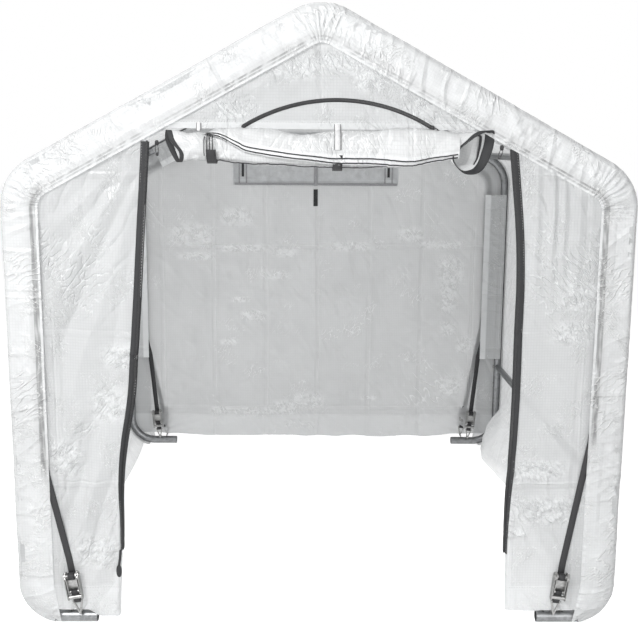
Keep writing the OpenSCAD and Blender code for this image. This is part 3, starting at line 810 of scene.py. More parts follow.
def pocket_webbing_shade(s, inward, seed):
    """Painted shade that the webbing in a band's pocket puts on the film, at a distance in from its inner
    edge: one wide strip down the legs and two thin ones along the rafters."""
    up = RIB.from_foot(s)
    exits = np.where(s < RIB.length / 2, RIB.s_at(STRAP_TOP_H[RIGHT]), RIB.s_at(STRAP_TOP_H[LEFT]))
    bend = RIB.eaves[0] - 0.02, RIB.eaves[1] + 0.02
    leg = step(exits - 0.02, exits + 0.05, up) * step(bend[1], bend[0], up)
    rafter = step(*bend, up)
    wide = step(0.0055, 0.0080, inward) * step(0.0260, 0.0215, inward)
    thin = step(0.0050, 0.0070, inward) * step(0.0125, 0.0105, inward)
    thin = thin + step(0.0135, 0.0155, inward) * step(0.0215, 0.0190, inward)
    streaks = np.clip(0.85 + 0.75 * noise(s / 0.05, inward / 0.007, seed + 41), 0, 1)
    hatch = np.clip(0.70 + 0.9 * noise(s / 0.016 + inward / 0.02, inward / 0.03, seed + 42), 0, 1)
    fade = np.clip(0.75 + 0.7 * noise(s / 0.35, 0 * s, seed + 43), 0.3, 1)
    return 0.95 * wide * leg * streaks + 0.85 * thin * rafter * hatch * fade


def make_band(end, steps, rows, seed):
    """An edge band over the rib of one end, with its steps closer together where it gathers."""
    s = np.linspace(0, RIB.length, 4000)
    dense = 1 + sum(1.8 * np.exp(-np.abs((s - place) / 0.12) ** 4) for place, _, _ in band_bends())
    s = np.interp(np.linspace(0, 1, steps), np.cumsum(dense) / dense.sum(), s)
    w = np.concatenate([np.linspace(-BAND_LAP, 0, 4)[:-1], np.linspace(0, BAND_TURN, 9)[:-1],
                        np.linspace(BAND_TURN, BAND_REACH, rows)])
    S, W = np.meshgrid(s, w, indexing="ij")
    d, y, t = band_section(W)
    y = y + np.minimum(W, 0)
    h = band_height(S, np.clip(W * BAND_W / BAND_REACH, 0, BAND_W), seed) * step(-0.02, 0.012, W)
    inward = BAND_REACH - W
    pocket = step(0.050, 0.036, inward)
    h = np.maximum(h * (1 - 0.55 * pocket), -0.0012 * (1 - pocket))
    lift = 0.0024 * pocket - 0.0008 * step(0.011, 0.008, inward)
    X, Z = RIB.at(S, d + np.maximum(h, -0.0006) * np.cos(t))
    X, Z = hang_straight(S, W, X, Z)
    Y = end * (y + h * np.sin(t) + lift)
    # A lighter line along the band's inner hem, the double layer, broken into painted glints.
    glint = step(0.1, 0.6, noise(S / 0.03, inward / 0.01, seed + 40))
    seam_and_glint = 0.25 * step(0.0050, 0.0030, inward) * glint
    # Below 0, painted shade where the pocket's webbing lies behind the film.
    ply = 0.05 + seam_and_glint - pocket_webbing_shade(S, inward, seed)
    cloth = Cloth().grid(np.stack([X, Y, Z], -1), np.stack([S, W], -1), ply)
    obj = cloth.make(END_NAME[end] + "_band_sheet", finish("band_film"))
    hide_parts(END_NAME[end] + "_cover_band")


# Front panel

# Folds that fan out from the left zip's top: where they start and how strong they are, then the angle
# from upright and the height for each metre of reach
FAN_X, FAN_Z, FAN_SHARE = 0.470, 1.50, 1.55
LEFT_FAN = ((-0.30, 0.0, 0.10, 0.21, 0.32, 0.43, 0.575, 0.68, 0.80, 0.92, 1.05),
            (0.0, 0.0, 0.010, -0.008, 0.008, -0.014, 0.026, -0.006, 0.008, -0.004, 0.0))
# Pleats down from the right rafter: distance from the middle, half-width and height
RIGHT_PLEATS = ((0.622, 0.016, 0.008), (0.668, 0.013, 0.014), (0.700, 0.016, 0.009), (0.748, 0.020, 0.011),
                (0.795, 0.014, 0.006))
# Crumpled spots of the flaps: place, half-sizes and depth
CRUMPLED = {
    LEFT: ((0.570, 0.845, 0.060, 0.035, 0.012), (0.755, 0.530, 0.045, 0.055, 0.011),
           (0.665, 0.235, 0.070, 0.050, 0.011), (0.62, 0.70, 0.05, 0.05, 0.006)),
    RIGHT: ((0.655, 0.500, 0.075, 0.030, 0.014), (0.705, 0.370, 0.085, 0.042, 0.016),
            (0.765, 1.030, 0.060, 0.045, 0.012), (0.745, 0.920, 0.060, 0.030, 0.012),
            (0.600, 0.300, 0.035, 0.014, 0.010)),
}


# How far a door zip's tape has turned inward at a height, and how much higher the right one starts
ZIP_TURN = ((0.0, 1.35), (0.30, 1.25), (0.45, 0.95), (0.60, 0.62), (0.80, 0.30), (1.10, 0.05), (1.30, 0.0),
            (2.0, 0.0))
ZIP_TURN_SHIFT = {LEFT: 0.0, RIGHT: 0.04}


def zip_edge(side, z):
    """Distance of a flap's free edge from the middle at a height z."""
    return smooth_at(ZIP_LINE[side], z)


def zip_turn(side, z):
    """Angle by which a door zip's tape has turned inward, which it does towards its lower end."""
    return smooth_at(ZIP_TURN, z + ZIP_TURN_SHIFT[side])


def crumple_spot(x, z, cx, cz, rx, rz):
    """1 in the middle of a crumpled spot, with a ragged edge."""
    ragged = 0.35 * noise(x / 0.03, z / 0.02, 33)
    return np.exp(-np.abs((x - cx) / rx) ** 3 - np.abs((z - cz) / rz) ** 3) * np.clip(1 + ragged, 0, 1)


def crumpled(x, z, spots):
    """1 in the crumpled spots and 0 away from them."""
    return np.clip(1.6 * sum(crumple_spot(x, z, *spot[:4]) for spot in spots), 0, 1)


def flap_surface(side, x, z):
    """Points of a front flap at distances x from the middle and heights z."""
    edge, rib = zip_edge(side, z), RIB.x_at(z, 0.0)
    free = step(0.08, 0.19, rib - x) * step(1.50, 1.30, z)
    near = np.clip((rib - x) / np.maximum(rib - edge, 0.02), 0, 1.1)
    seed = 41 if side == LEFT else 57
    h = 0.75 * film_relief(side * x, z, seed, billow=1.2, crinkle=0.42, pitch=(0.26, 0.46))
    if side == LEFT:
        fan, reach = np.arctan2(x - FAN_X, FAN_Z - z), np.hypot(x - FAN_X, FAN_Z - z)
        bend = fan + 0.03 * noise(reach / 0.25, fan * 4, 5)
        fold = FAN_SHARE * reach * np.interp(bend, *LEFT_FAN)
        h = h - fold * step(0.04, 0.30, reach) * step(1.30, 0.55, reach)
        low = triangle((x - 0.35 * (0.9 - z)) / 0.105 + 0.3 * noise(x / 0.2, z / 0.3, 8))
        h = h + 0.008 * low * step(0.75, 0.45, z) * step(0.02, 0.25, z)
        h = h - 0.003 * np.exp(-np.abs(x - 0.602) / 0.006) * step(0.92, 0.98, z) * step(1.24, 1.18, z)
        sway = 0.012 * np.sin(4.6 * z + 0.6) - 0.010
    else:
        drop = step(0.85, 1.38, z + 0.05 * noise(x / 0.03, z / 0.4, 14))
        for ridge, half, high in RIGHT_PLEATS:
            beside = np.abs(x - ridge - 0.01 * noise(z / 0.3, 0 * z, 9))
            h = h - high * drop * np.maximum(0, 1 - beside / half)
        sway = 0.010 * np.sin(3.6 * z + 2.0) - 0.006
    sharp = 0.35 + crinkles(x, z, 0.034, 77, lean=1.2, stretch=1.8)
    for *spot, high in CRUMPLED[side]:
        h = h - high * crumple_spot(x, z, *spot) * sharp
    rise = (z - FOOT_TOP) / (STRAP_TOP_H[side] - FOOT_TOP)
    strap = OUTER_HOLE_X + (POCKET_X - OUTER_HOLE_X) * rise
    clear = step(0.055, 0.030, np.abs(x - strap)) * step(0.68, 0.60, z)
    h = np.clip(h * free + sway * near ** 2 * free, -0.0012 - 0.05 * (1 - clear), 0.02)
    angle = zip_turn(side, z)
    curl = np.maximum(0, setting("zip").width * np.cos(angle) - (x - edge)) * np.tan(angle)
    return np.stack([side * x, -PANEL_Y + h + curl, z], -1)


# Height of each flap's lower edge beside the doorway
FLAP_HEM = {LEFT: 0.026, RIGHT: 0.043}


def flap_hem(side, x):
    """Height of a flap's lower edge, which rises over the foot."""
    low, over_foot = FLAP_HEM[side], 0.048
    return low + (over_foot - low) * step(FOOT_END_X - 0.02, FOOT_END_X + 0.03, x)


def make_flap(side):
    """A flap beside the doorway, from its rib to the door's zip."""
    rows, cols = 300, 82
    v = np.linspace(0, 1, rows)[:, None]
    u = np.linspace(0, 0.994, cols)[None, :]
    z = FLAP_LOW + (FLAP_TOP - FLAP_LOW) * v
    rib = RIB.x_at(z, PANEL_OFF)
    width = rib - np.minimum(zip_edge(side, z), rib)
    x = rib - width * u
    z = z + (flap_hem(side, x) - FLAP_LOW) * (1 - v) ** 6
    points = flap_surface(side, x, z)
    hem = step(FLAP_HEM_LINE + 0.004, FLAP_HEM_LINE, z) + step(0.022, 0.020, x - zip_edge(side, z))
    hem = np.clip(hem, 0, 1)
    points[..., 1] -= 0.0008 * hem
    cloth = Cloth().grid(points, np.stack([x, z], -1), 0.35 * hem, crumpled(x, z, CRUMPLED[side]))
    name = "front_%s_flap" % SIDE_NAME[side]
    obj = cloth.make(name + "_sheet", finish("panel_film"))
    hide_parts(name)


# Crumpled spots of the gable: place and half-sizes
GABLE_CRUMPLED = ((-0.255, 1.552, 0.050, 0.030), (0.050, 1.690, 0.085, 0.018), (0.150, 1.640, 0.060, 0.030),
                  (-0.060, 1.665, 0.050, 0.022), (0.265, 1.575, 0.040, 0.030))


def gable_surface(x, z):
    """Points of the gable at distances x from the middle and heights z."""
    free = step(0.0, 0.06, RIB.x_at(z, -0.085) - np.abs(x)) * step(1.80, 1.70, z)
    h = 0.6 * film_relief(x, z, 63, billow=0.6, crinkle=1.0, pitch=(0.27, 0.33))
    moon = MOON_TOP - MOON_RISE * ((x - MOON_X) / MOON_HALF) ** 2
    h = h - 0.006 * step(0.02, -0.05, z - moon) * step(GABLE_HEM_H - 0.02, GABLE_HEM_H + 0.05, z)
    return np.stack([x, -PANEL_Y + np.minimum(h * free, 0.02), z], -1)


def make_gable():
    """The gable above the door, between the zips' lines and the roof slopes."""
    rows, cols = 74, 230
    z = np.linspace(GABLE_HEM_H, PANEL_TOP, rows)[:, None]
    rib = RIB.x_at(z, PANEL_OFF)
    left, right = (np.minimum(zip_edge(side, np.minimum(z, ZIP_LINE_TOP)), rib) for side in (LEFT, RIGHT))
    x = -left + (left + right) * np.linspace(0, 1, cols)[None, :]
    z = np.broadcast_to(z, x.shape)
    hem = step(GABLE_HEM_H + 0.024, GABLE_HEM_H + 0.020, z)
    points = gable_surface(x, z)
    points[..., 1] -= 0.001 * hem
    cloth = Cloth().grid(points, np.stack([x, z], -1), 0.6 * hem, crumpled(x, z, GABLE_CRUMPLED))
    obj = cloth.make("front_gable_sheet", finish("panel_film"))
    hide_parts("front_gable")


# The rolled-up door

# The roll's two ends, then the height of its top, its underside and the door's lower edge between them
ROLL_LEFT, ROLL_RIGHT = -0.330, 0.385
ROLL_TOP = ((ROLL_LEFT, 1.482), (-0.283, 1.504), (-0.144, 1.500), (-0.060, 1.486), (0.016, 1.493),
            (0.128, 1.499), (0.231, 1.506), (0.300, 1.505), (ROLL_RIGHT, 1.490))
ROLL_LOW = ((ROLL_LEFT, 1.415), (-0.284, 1.410), (-0.214, 1.402), (0.017, 1.394), (0.147, 1.392),
            (0.234, 1.399), (0.300, 1.408), (ROLL_RIGHT, 1.427))
ROLL_EDGE = ((ROLL_LEFT, 1.481), (-0.283, 1.474), (-0.235, 1.452), (-0.185, 1.435), (0.017, 1.413),
             (0.146, 1.410), (0.234, 1.408), (0.300, 1.416), (ROLL_RIGHT, 1.432))
# Middle of the roll and half its depth
ROLL_Y, ROLL_DEEP = -0.917, 0.036


def roll_ring(x, angle, size):
    """Points round the roll: angle 0 is its top and a quarter turn its front."""
    top, low = smooth_at(ROLL_TOP, x), smooth_at(ROLL_LOW, x)
    mid, half = (top + low) / 2, (top - low) / 2
    c, s = np.cos(angle), np.sin(angle)
    square = (np.abs(c) ** 2.6 + np.abs(s) ** 2.6) ** (-1 / 2.6)
    wave = 0.0030 * noise(x / 0.10, angle * 1.3, 12) + 0.0022 * crinkles(x, 0.045 * angle, 0.035, 15)
    slump = 0.25 * (1 - size)
    return np.stack([
        x + 0 * angle, ROLL_Y - (ROLL_DEEP * size + wave) * square * s,
        mid - half * slump + (half * size + wave) * square * c], -1)


def roll_wrap(x, t):
    """The last turn: over the top and down the front to the door's lower edge, at t = 1."""
    top, low, edge = (smooth_at(table, x) for table in (ROLL_TOP, ROLL_LOW, ROLL_EDGE))
    mid, half = (top + low) / 2, (top - low) / 2
    last = np.arccos(np.clip((edge - mid) / half, -0.93, 0.93))
    angle = -0.5 + (last + 0.5) * t
    ring = roll_ring(x, angle, 1.0)
    out = np.stack([0 * x, -np.sin(angle) - 0.2, np.cos(angle)], -1)
    lift = 0.0022 + 0.0035 * step(0.6, 1.0, t) + 0.002 * noise(x / 0.07, t * 2, 18)
    ridge, valley = (np.abs(x + start - 0.13 * t) for start in (0.085, 0.045))
    slant = np.exp(-ridge / 0.020) - 0.5 * np.exp(-valley / 0.025)
    lift = lift + 0.005 * slant * step(0.25, 0.45, t) * step(1.0, 0.85, t)
    return ring + out * lift[..., None]


# The open rims at the roll's two ends
RIM = {
    RIGHT: ((0.372, -0.950, 1.428), (0.398, -0.949, 1.459), (0.440, -0.945, 1.489), (0.478, -0.936, 1.503),
            (0.489, -0.925, 1.492), (0.487, -0.915, 1.452), (0.470, -0.918, 1.408), (0.446, -0.930, 1.385),
            (0.410, -0.944, 1.382), (0.384, -0.950, 1.400)),
    LEFT: ((-0.400, -0.932, 1.414), (-0.400, -0.938, 1.438), (-0.424, -0.938, 1.468),
           (-0.433, -0.930, 1.492), (-0.438, -0.920, 1.496), (-0.440, -0.913, 1.470),
           (-0.428, -0.912, 1.440), (-0.412, -0.916, 1.412)),
}


def rim_curve(side, n):
    """A closed smooth curve round one end of the roll."""
    p, steps = np.array(RIM[side]), 400
    first, last = (int(steps * k / (len(p) + 3)) for k in (2, len(p) + 2))
    return even(smooth_line(np.concatenate([p[-2:], p, p[:2]]), steps)[first:last], n)


def turns_same_way(a, b):
    """Whether two rings of points turn the same way about X."""
    first, second = (np.cross(ring[5] - ring[0], ring[len(ring) // 2] - ring[0])[0] for ring in (a, b))
    return first * second >= 0


def roll_end(cloth, side, rings=16, n=64):
    """The film from the roll's body out to the open rim at one end."""
    x0 = ROLL_RIGHT - 0.025 if side == RIGHT else ROLL_LEFT + 0.012
    angle = np.linspace(0, 2 * math.pi, n, endpoint=False)
    body = roll_ring(np.full(n, x0), angle, 0.94)
    rim = rim_curve(side, n)
    start = np.argmin(np.linalg.norm(rim - rim.mean(0) - np.array([0, 0, 1]), axis=1))
    rim = np.roll(rim, -start, axis=0)
    if not turns_same_way(rim, body):
        rim = np.roll(rim[::-1], 1, axis=0)
    t = np.linspace(0, 1, rings)[:, None, None]
    points = body * (1 - t) + rim * t
    swell = 0.005 * np.sin(math.pi * t) * noise(np.arange(n)[None, :, None] / 7.0, t * 3, 22 + side)
    points = points + swell * unit(points - points.mean(1, keepdims=True))
    cut = np.stack(np.broadcast_arrays(x0 + side * 0.1 * t[..., 0], angle[None, :] * 0.05), -1)
    cloth.grid(points, cut, closed=True)
    return points


def rim_tape(cloth, rings, first, gap=0.0013):
    """Tape on the inner and outer side of the rings of film at the roll's open end."""
    edge = rings[first:]
    out = unit(edge - edge.mean(1, keepdims=True)) * gap
    skin = np.concatenate([edge + out, edge[::-1] - out])
    along = np.linspace(0, 0.30, edge.shape[1])
    across = np.linspace(0, 0.05, len(skin))
    cloth.grid(skin, np.stack(np.broadcast_arrays(along[None, :], across[:, None]), -1), closed=True)


def make_rolled_door():
    """The door rolled up under the gable, with its dark edging and its ties."""
    cloth = Cloth()
    turns, per = 8, 44
    x, angle = np.meshgrid(np.linspace(ROLL_LEFT, ROLL_RIGHT, 92),
                           np.linspace(0, 2 * math.pi * turns, turns * per), indexing="ij")
    size = 0.18 + 0.80 * angle / angle.max()
    cloth.grid(roll_ring(x, angle, size), np.stack([x, angle * 0.026], -1))
    x, t = np.meshgrid(np.linspace(ROLL_LEFT - 0.002, ROLL_RIGHT + 0.003, 150), np.linspace(0, 1, 26),
                       indexing="ij")
    cloth.grid(roll_wrap(x, t), np.stack([x, 0.12 * t], -1), 0.6 * step(0.80, 0.84, t))
    ends = {side: roll_end(cloth, side) for side in (LEFT, RIGHT)}
    obj = cloth.make("rolled_door_film", finish("roll_film"))
    tapes = Cloth()
    for t in (0.885, 0.965):
        edge = roll_wrap(np.linspace(-0.322, 0.384, 140), np.full(140, t))
        tapes.tape(edge + [0, -0.0014, 0], (0, -1, 0.25), 0.0032, 0.0012)
    under = roll_ring(np.linspace(-0.300, 0.384, 140), np.full(140, 0.80 * math.pi), 1.0)
    tapes.tape(under + [0, -0.0012, -0.001], (0, -0.6, -1), 0.0036, 0.0014)
    for x in (-0.327, -0.319, -0.311, -0.303):
        stripe = roll_ring(np.full(40, x), np.linspace(0.16 * math.pi, 0.70 * math.pi, 40), 1.0)
        tapes.tape(stripe + [0, -0.0052, 0], (0, -1, 0.1), 0.0022, 0.0012)
    rim_tape(tapes, ends[RIGHT], 12)
    rim_tape(tapes, ends[LEFT], 13)
    core = ends[RIGHT][9:].mean((0, 1)) + [0.012, 0.004, 0.004]
    for size in (0.50, 0.62):
        inner = core + (ends[RIGHT][12] - core) * [size, size, 0.78]
        side = inner[inner[:, 0] > core[0]]
        side = side[np.argsort(side[:, 2])]
        tapes.tape(even(smooth_line(side[::5], 60), 40), FORWARD, 0.0035, 0.0014)
    edging = tapes.make("rolled_door_edging", finish("zip_tape"))
    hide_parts("rolled_door")
    make_ties()


def make_ties():
    """Two ties that hold the roll: white tape down its front and a black loop under it."""
    white, black = Cloth(), Cloth()
    for x, bold, black_x in ((-0.345, 0.010, -0.308), (0.046, 0.015, 0.046)):
        xs = np.full(60, max(x, -0.328))
        front = roll_ring(xs, np.linspace(0.10, 0.50 * math.pi, 60), 1.0) + [x - xs[0], -0.0065, 0.002]
        front = even(np.concatenate([[[x, -PANEL_Y - 0.003, GABLE_HEM_H + 0.016]], front]), 60)
        front = even(front[:16] if x < 0 else front, 60)
        white.tape(front, (0, -1, 0.4), bold, 0.0012)
        # Thin black strips along both edges of the white tape: painted shade at its edges.
        for shift in (-0.55, 0.55):
            black.tape(front + [shift * bold, 0.0002, 0], (0, -1, 0.4), 0.0014, 0.0012)
        under = roll_ring(np.full(60, black_x), np.linspace(0.60 * math.pi, 1.30 * math.pi, 60), 1.0)
        middle = np.array([black_x, ROLL_Y, under[:, 2].mean()])
        black.tape(under + 0.0065 * unit(under - middle), under - middle, 0.027, 0.0022)
    white.make("door_tie_tapes", finish("white_tape"))
    black.make("door_tie_loops", finish("webbing"))


# Zips

def zip_path(side, z0, z1, n, share=0.5):
    """Points along a door zip, at a share of its width in from its free edge, and its facing."""
    z = np.linspace(z0, z1, n)
    angle = zip_turn(side, z)
    points = flap_surface(side, zip_edge(side, z) + share * setting("zip").width * np.cos(angle), z)
    facing = np.stack([-side * np.sin(angle), -np.cos(angle), 0 * z], 1)
    return points + 0.0022 * facing, facing


def moon_path(n):
    """Points along the half-moon zip, from left to right."""
    r = (MOON_HALF ** 2 + MOON_RISE ** 2) / (2 * MOON_RISE)
    a = np.linspace(-1, 1, n) * math.asin(MOON_HALF / r)
    x, z = MOON_X + r * np.sin(a), MOON_TOP - 0.004 - r + r * np.cos(a)
    points = gable_surface(x, z)
    points[:, 1] -= 0.0018
    return points


def teeth_on(cloth, path, facing, pitch, size):
    """A row of coil teeth along a path."""
    facing = np.broadcast_to(np.asarray(facing, float), path.shape)
    both = even(np.concatenate([path, facing * 1e-6], 1), int(run(path)[-1] / pitch))
    p, facing = both[:, :3], unit(both[:, 3:] * 1e6)
    along = unit(np.gradient(p, axis=0))
    across = unit(np.cross(along, facing))
    ring = [(-0.5, 0.0), (-0.35, 0.8), (0.35, 0.8), (0.5, 0.0)]
    for k in (-1, 1):
        q, a, c, o = (w[(k + 1) // 2::2] for w in (p, along, across, facing))
        ends = [q + c * (k * 0.25 * size + e * 0.8 * size) for e in (-1, 1)]
        teeth = np.stack([np.stack([end + a * pitch * 1.3 * i + o * 0.5 * size * j for i, j in ring], 1)
                          for end in ends], 1)
        for tooth in teeth:
            cloth.grid(tooth, np.zeros((2, 4, 2)), closed=True)


def add_lump(cloth, centre, axes, sizes, power=3.0, n=14):
    """A rounded block: a superellipsoid about a centre."""
    u, v = np.meshgrid(np.linspace(-math.pi / 2, math.pi / 2, n),
                       np.linspace(0, 2 * math.pi, 2 * n, endpoint=False), indexing="ij")
    cu, su, cv, sv = (np.sign(w) * np.abs(w) ** (2 / power)
                      for w in (np.cos(u), np.sin(u), np.cos(v), np.sin(v)))
    local = [cu * cv, cu * sv, su]
    points = np.asarray(centre, float) + sum(
        np.asarray(a, float) * (0.5 * size * w)[..., None] for a, size, w in zip(axes, sizes, local))
    cloth.grid(points, np.stack([u, v], -1) * 0.01, closed=True)


def add_slider(cloth, at, pull, swing):
    """A zip slider with its bridge, ring and hanging pull."""
    at = np.asarray(at, float)
    add_lump(cloth, at + [0, -0.003, 0], AXES, (0.011, 0.006, 0.015))
    add_lump(cloth, at + [0, -0.007, 0.001], AXES, (0.004, 0.004, 0.011))
    down = np.array([math.sin(swing), -0.05, -math.cos(swing)])
    side = np.array([math.cos(swing), 0, math.sin(swing)])
    ring = at + [0, -0.009, -0.002]
    centre = ring + down * (pull / 2)
    t = np.linspace(0, 2 * math.pi, 40)
    loop = centre + np.outer(np.cos(t), side) * 0.0042 + np.outer(np.sin(t), down) * (pull / 2)
    cloth.band(loop, -AXES[1], unit(loop - centre), 0.0018, 0.0022)
    add_lump(cloth, ring + down * pull * 0.86, (side, (0, 1, 0), down), (0.008, 0.0022, 0.010))


def sew_zip(name, tape, teeth):
    """Makes one zip of its tape and its teeth."""
    obj = tape.make(name + "_tape", finish("zip_tape"))
    row = teeth.make(name + "_teeth", finish("zip_teeth"))
    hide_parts(name)


def make_zips():
    """The two door zips, the half-moon zip and their sliders."""
    s = setting("zip")
    for side in (LEFT, RIGHT):
        path, facing = zip_path(side, *ZIP_ENDS[side], 260)
        tape, teeth = Cloth().tape(path, facing, s.width, 0.0016), Cloth()
        if side == LEFT:
            z = np.linspace(ZIP_ENDS[side][0] + 0.004, 0.168, 30)
            tail = flap_surface(side, 0.6075 - 0.006 * step(0.17, 0.24, z), z) + [0, -0.006, 0]
            tape.tape(tail, FORWARD, 0.007, 0.0026)
            add_lump(tape, tail[-1] + [0.001, -0.001, 0.006], AXES, (0.017, 0.005, 0.040), 2.3)
        path, facing = zip_path(side, *ZIP_ENDS[side], 260, 0.3)
        teeth_on(teeth, path + 0.0008 * facing, facing, s.pitch, 0.0034)
        sew_zip(SIDE_NAME[side] + "_door_zip", tape, teeth)
    arc = moon_path(150)
    tape, teeth = Cloth().tape(arc, FORWARD, 0.0108, 0.0015), Cloth()
    teeth_on(teeth, arc + [0, -0.001, 0], FORWARD, s.pitch, 0.003)
    sew_zip("half_moon_zip", tape, teeth)
    pulls = Cloth()
    add_slider(pulls, (-0.462, -0.929, 1.462), 0.034, 0.06)
    add_slider(pulls, (0.510, -0.929, 1.455), 0.030, -0.30)
    add_slider(pulls, arc[-1] + [0, -0.002, 0], 0.018, 1.2)
    pulls.make("zip_sliders", finish("dark_metal"))


# Rear panel

# Crumpled spots of the rear panel: place and half-sizes
REAR_CRUMPLED = (
    (-0.59, 1.03, 0.096, 0.049), (-0.38, 1.12, 0.072, 0.041), (-0.57, 0.93, 0.080, 0.018),
    (-0.35, 0.97, 0.112, 0.018), (-0.15, 0.95, 0.056, 0.021), (0.17, 0.98, 0.096, 0.021),
    (0.46, 1.04, 0.056, 0.033), (0.61, 0.99, 0.104, 0.020), (0.66, 0.86, 0.056, 0.066),
    (0.65, 0.73, 0.040, 0.066), (0.65, 0.58, 0.032, 0.033), (-0.30, 0.64, 0.056, 0.025),
    (-0.42, 0.51, 0.040, 0.013), (-0.19, 0.84, 0.064, 0.020), (-0.36, 0.72, 0.040, 0.013),
    (-0.03, 0.21, 0.072, 0.041), (-0.14, 0.17, 0.056, 0.041), (0.27, 0.23, 0.032, 0.012),
    (0.66, 0.29, 0.056, 0.049), (0.74, 0.50, 0.040, 0.041), (-0.30, 0.15, 0.096, 0.025),
    (-0.47, 0.16, 0.040, 0.025), (-0.07, 0.09, 0.096, 0.025),
)
# Corners of the rear panel, where it is pulled
REAR_CORNER_X = 0.86


def rear_surface(x, z, out):
    """Points of the rear panel, a distance out from the middle of the part."""
    rib = RIB.x_at(z, 0.0)
    free = step(0.08, 0.19, rib - np.abs(x)) * step(1.76, 1.56, z)
    h = film_relief(x - 0.02, z - 0.185, 83, billow=1.8, crinkle=1.1, crease=2.2, pitch=(0.25, 0.80))
    line = np.exp(-np.abs(z - 0.985 - 0.01 * noise(x / 0.2, z, 3)) / 0.03)
    h = h + 0.005 * line * crinkles(x, z, 0.05, 88)
    inward = REAR_CORNER_X - np.abs(x)
    fan = np.arctan2(inward, z - 0.02)
    tug = triangle(fan * 4.5 + 0.3 * np.sign(x)) * np.exp(-np.hypot(inward, z) / 0.4)
    h = h + 0.006 * tug
    return np.stack([x, out + np.maximum(h * free, -0.011), z], -1)


def window_inset(x, z):
    """Distance inside the window's opening, below 0 outside it."""
    return np.minimum(WINDOW_HALF - np.abs(x), np.minimum(z - WINDOW_LOW, WINDOW_TOP - z))


def make_rear_panel():
    """The rear panel, with rows and columns on the edges of its window, which is left open."""
    z = np.concatenate([np.linspace(REAR_LOW, WINDOW_LOW, 200)[:-1],
                        np.linspace(WINDOW_LOW, WINDOW_TOP, 28)[:-1],
                        np.linspace(WINDOW_TOP, PANEL_TOP, 40)])[:, None]
    rib = RIB.x_at(z, PANEL_OFF)
    window = np.minimum(WINDOW_HALF, 0.55 * rib)
    half = np.concatenate([np.linspace(0, 1, 60)[:-1], 1 + np.linspace(0, 1, 56)])[None, :]
    x = np.minimum(half, 1) * window + np.maximum(half - 1, 0) * (rib - window)
    x = np.concatenate([-x[:, :0:-1], x], 1)
    z = np.broadcast_to(z, x.shape) + 0.014 * step(0.10, 0.03, z) * step(0.60, 0.70, np.abs(x))
    z = z + 0.009 * noise(x / 0.13, 0 * z, 71) * step(0.10, 0.03, z)
    hem = step(REAR_HEM_LINE + 0.005, REAR_HEM_LINE, z)
    frame_tape = step(0.0, 0.004, WINDOW_LAP + window_inset(x, z))
    points = rear_surface(x, z, PANEL_Y)
    points[..., 1] += 0.0008 * hem
    mid_x, mid_z = (w[:-1, :-1] / 2 + w[1:, 1:] / 2 for w in (x, z))
    cloth = Cloth().grid(points, np.stack([x, z], -1), np.clip(0.45 * hem + 0.5 * frame_tape, 0, 1),
                         crumpled(x, z, REAR_CRUMPLED), window_inset(mid_x, mid_z) <= 0)
    obj = cloth.make("rear_panel_sheet", finish("rear_film"))
    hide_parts("rear_panel")


def make_rear_window():
    """The window's screen, its outside flap, and the tapes and ties round it."""
    x, z = np.meshgrid(np.linspace(-WINDOW_HALF - WINDOW_LAP, WINDOW_HALF + WINDOW_LAP, 120),
                       np.linspace(WINDOW_LOW - WINDOW_LAP, WINDOW_TOP + WINDOW_LAP, 44), indexing="ij")
    cut = np.stack([x, z], -1)
    screen = Cloth().grid(rear_surface(x, z, PANEL_Y - 0.0016), cut)
    obj = screen.make("rear_window_screen_sheet", finish("screen_mesh"))
    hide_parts("rear_window_screen")
    cover = rear_surface(x, z, PANEL_Y + 0.003)
    slack = step(-0.01, 0.08, window_inset(x, z)) * (0.7 + 0.5 * noise(x / 0.14, z / 0.2, 91))
    cover[..., 1] += 0.012 * slack + 0.004 * step(1.32, 1.27, z)
    flap = Cloth().grid(cover, cut, step(1.300, 1.295, z)).make("rear_window_flap_sheet", finish("rear_film"))
    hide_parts("rear_window_flap")
    dark, pale = Cloth(), Cloth()
    low, top, tie_x = WINDOW_LOW - 0.016, 1.372, 0.346

    def sew_tape(cloth, start, end, width):
        """Adds a tape on the inside of the panel between two places given by x and z."""
        points = rear_surface(*np.linspace(start, end, 40).T, PANEL_Y - 0.0042)
        cloth.tape(points, FORWARD, width, 0.0012)

    sew_tape(pale, (-0.385, low), (0.385, low), 0.010)
    sew_tape(pale, (0.0, 1.268), (0.0, top), 0.018)
    sew_tape(dark, (0.0, 1.172), (0.0, 1.252), 0.020)
    for side in (LEFT, RIGHT):
        sew_tape(dark, (side * tie_x, 1.310), (side * tie_x, top), 0.011)
        for shift in (-0.017, 0.017):
            sew_tape(pale, (side * tie_x + shift, low), (side * tie_x + shift, top), 0.006)
    dark.make("window_ties", finish("webbing"))
    pale.make("window_tapes", finish("window_tape"))


def make_returns(end):
    """Strips of an end panel that come back behind its rib and hold the inner straps."""
    cloth = Cloth()
    runs = (RIB.s_at(0.437), RIB.s_at(1.233)), (RIB.eaves[1] + 0.07, RIB.length / 2 - 0.20)
    for side in (LEFT, RIGHT):
        for first, last in runs:
            s, w = np.meshgrid(np.linspace(first, last, 110), np.linspace(0, 1, 18), indexing="ij")
            d = PANEL_OFF - RETURN_W * w
            h = film_relief(s, d, 95 + side, billow=0.35, crinkle=1.0, crease=0.6) * step(0.1, 0.4, w)
            h = h + 0.003 * step(0.3, 1.0, w) * triangle(s / 0.12 + 0.6 * noise(s / 0.2, w, 6))
            x, z = RIB.at(s, d)
            y = RETURN_Y + np.minimum(h, 0) - 0.0036 * step(0.45, 0.75, w)
            cloth.grid(np.stack([side * x, end * y, z], -1), np.stack([s, d], -1), step(0.72, 0.76, w))
    name = END_NAME[end] + "_panel_returns"
    obj = cloth.make(name + "_sheet", finish("return_film"))
    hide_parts(name)


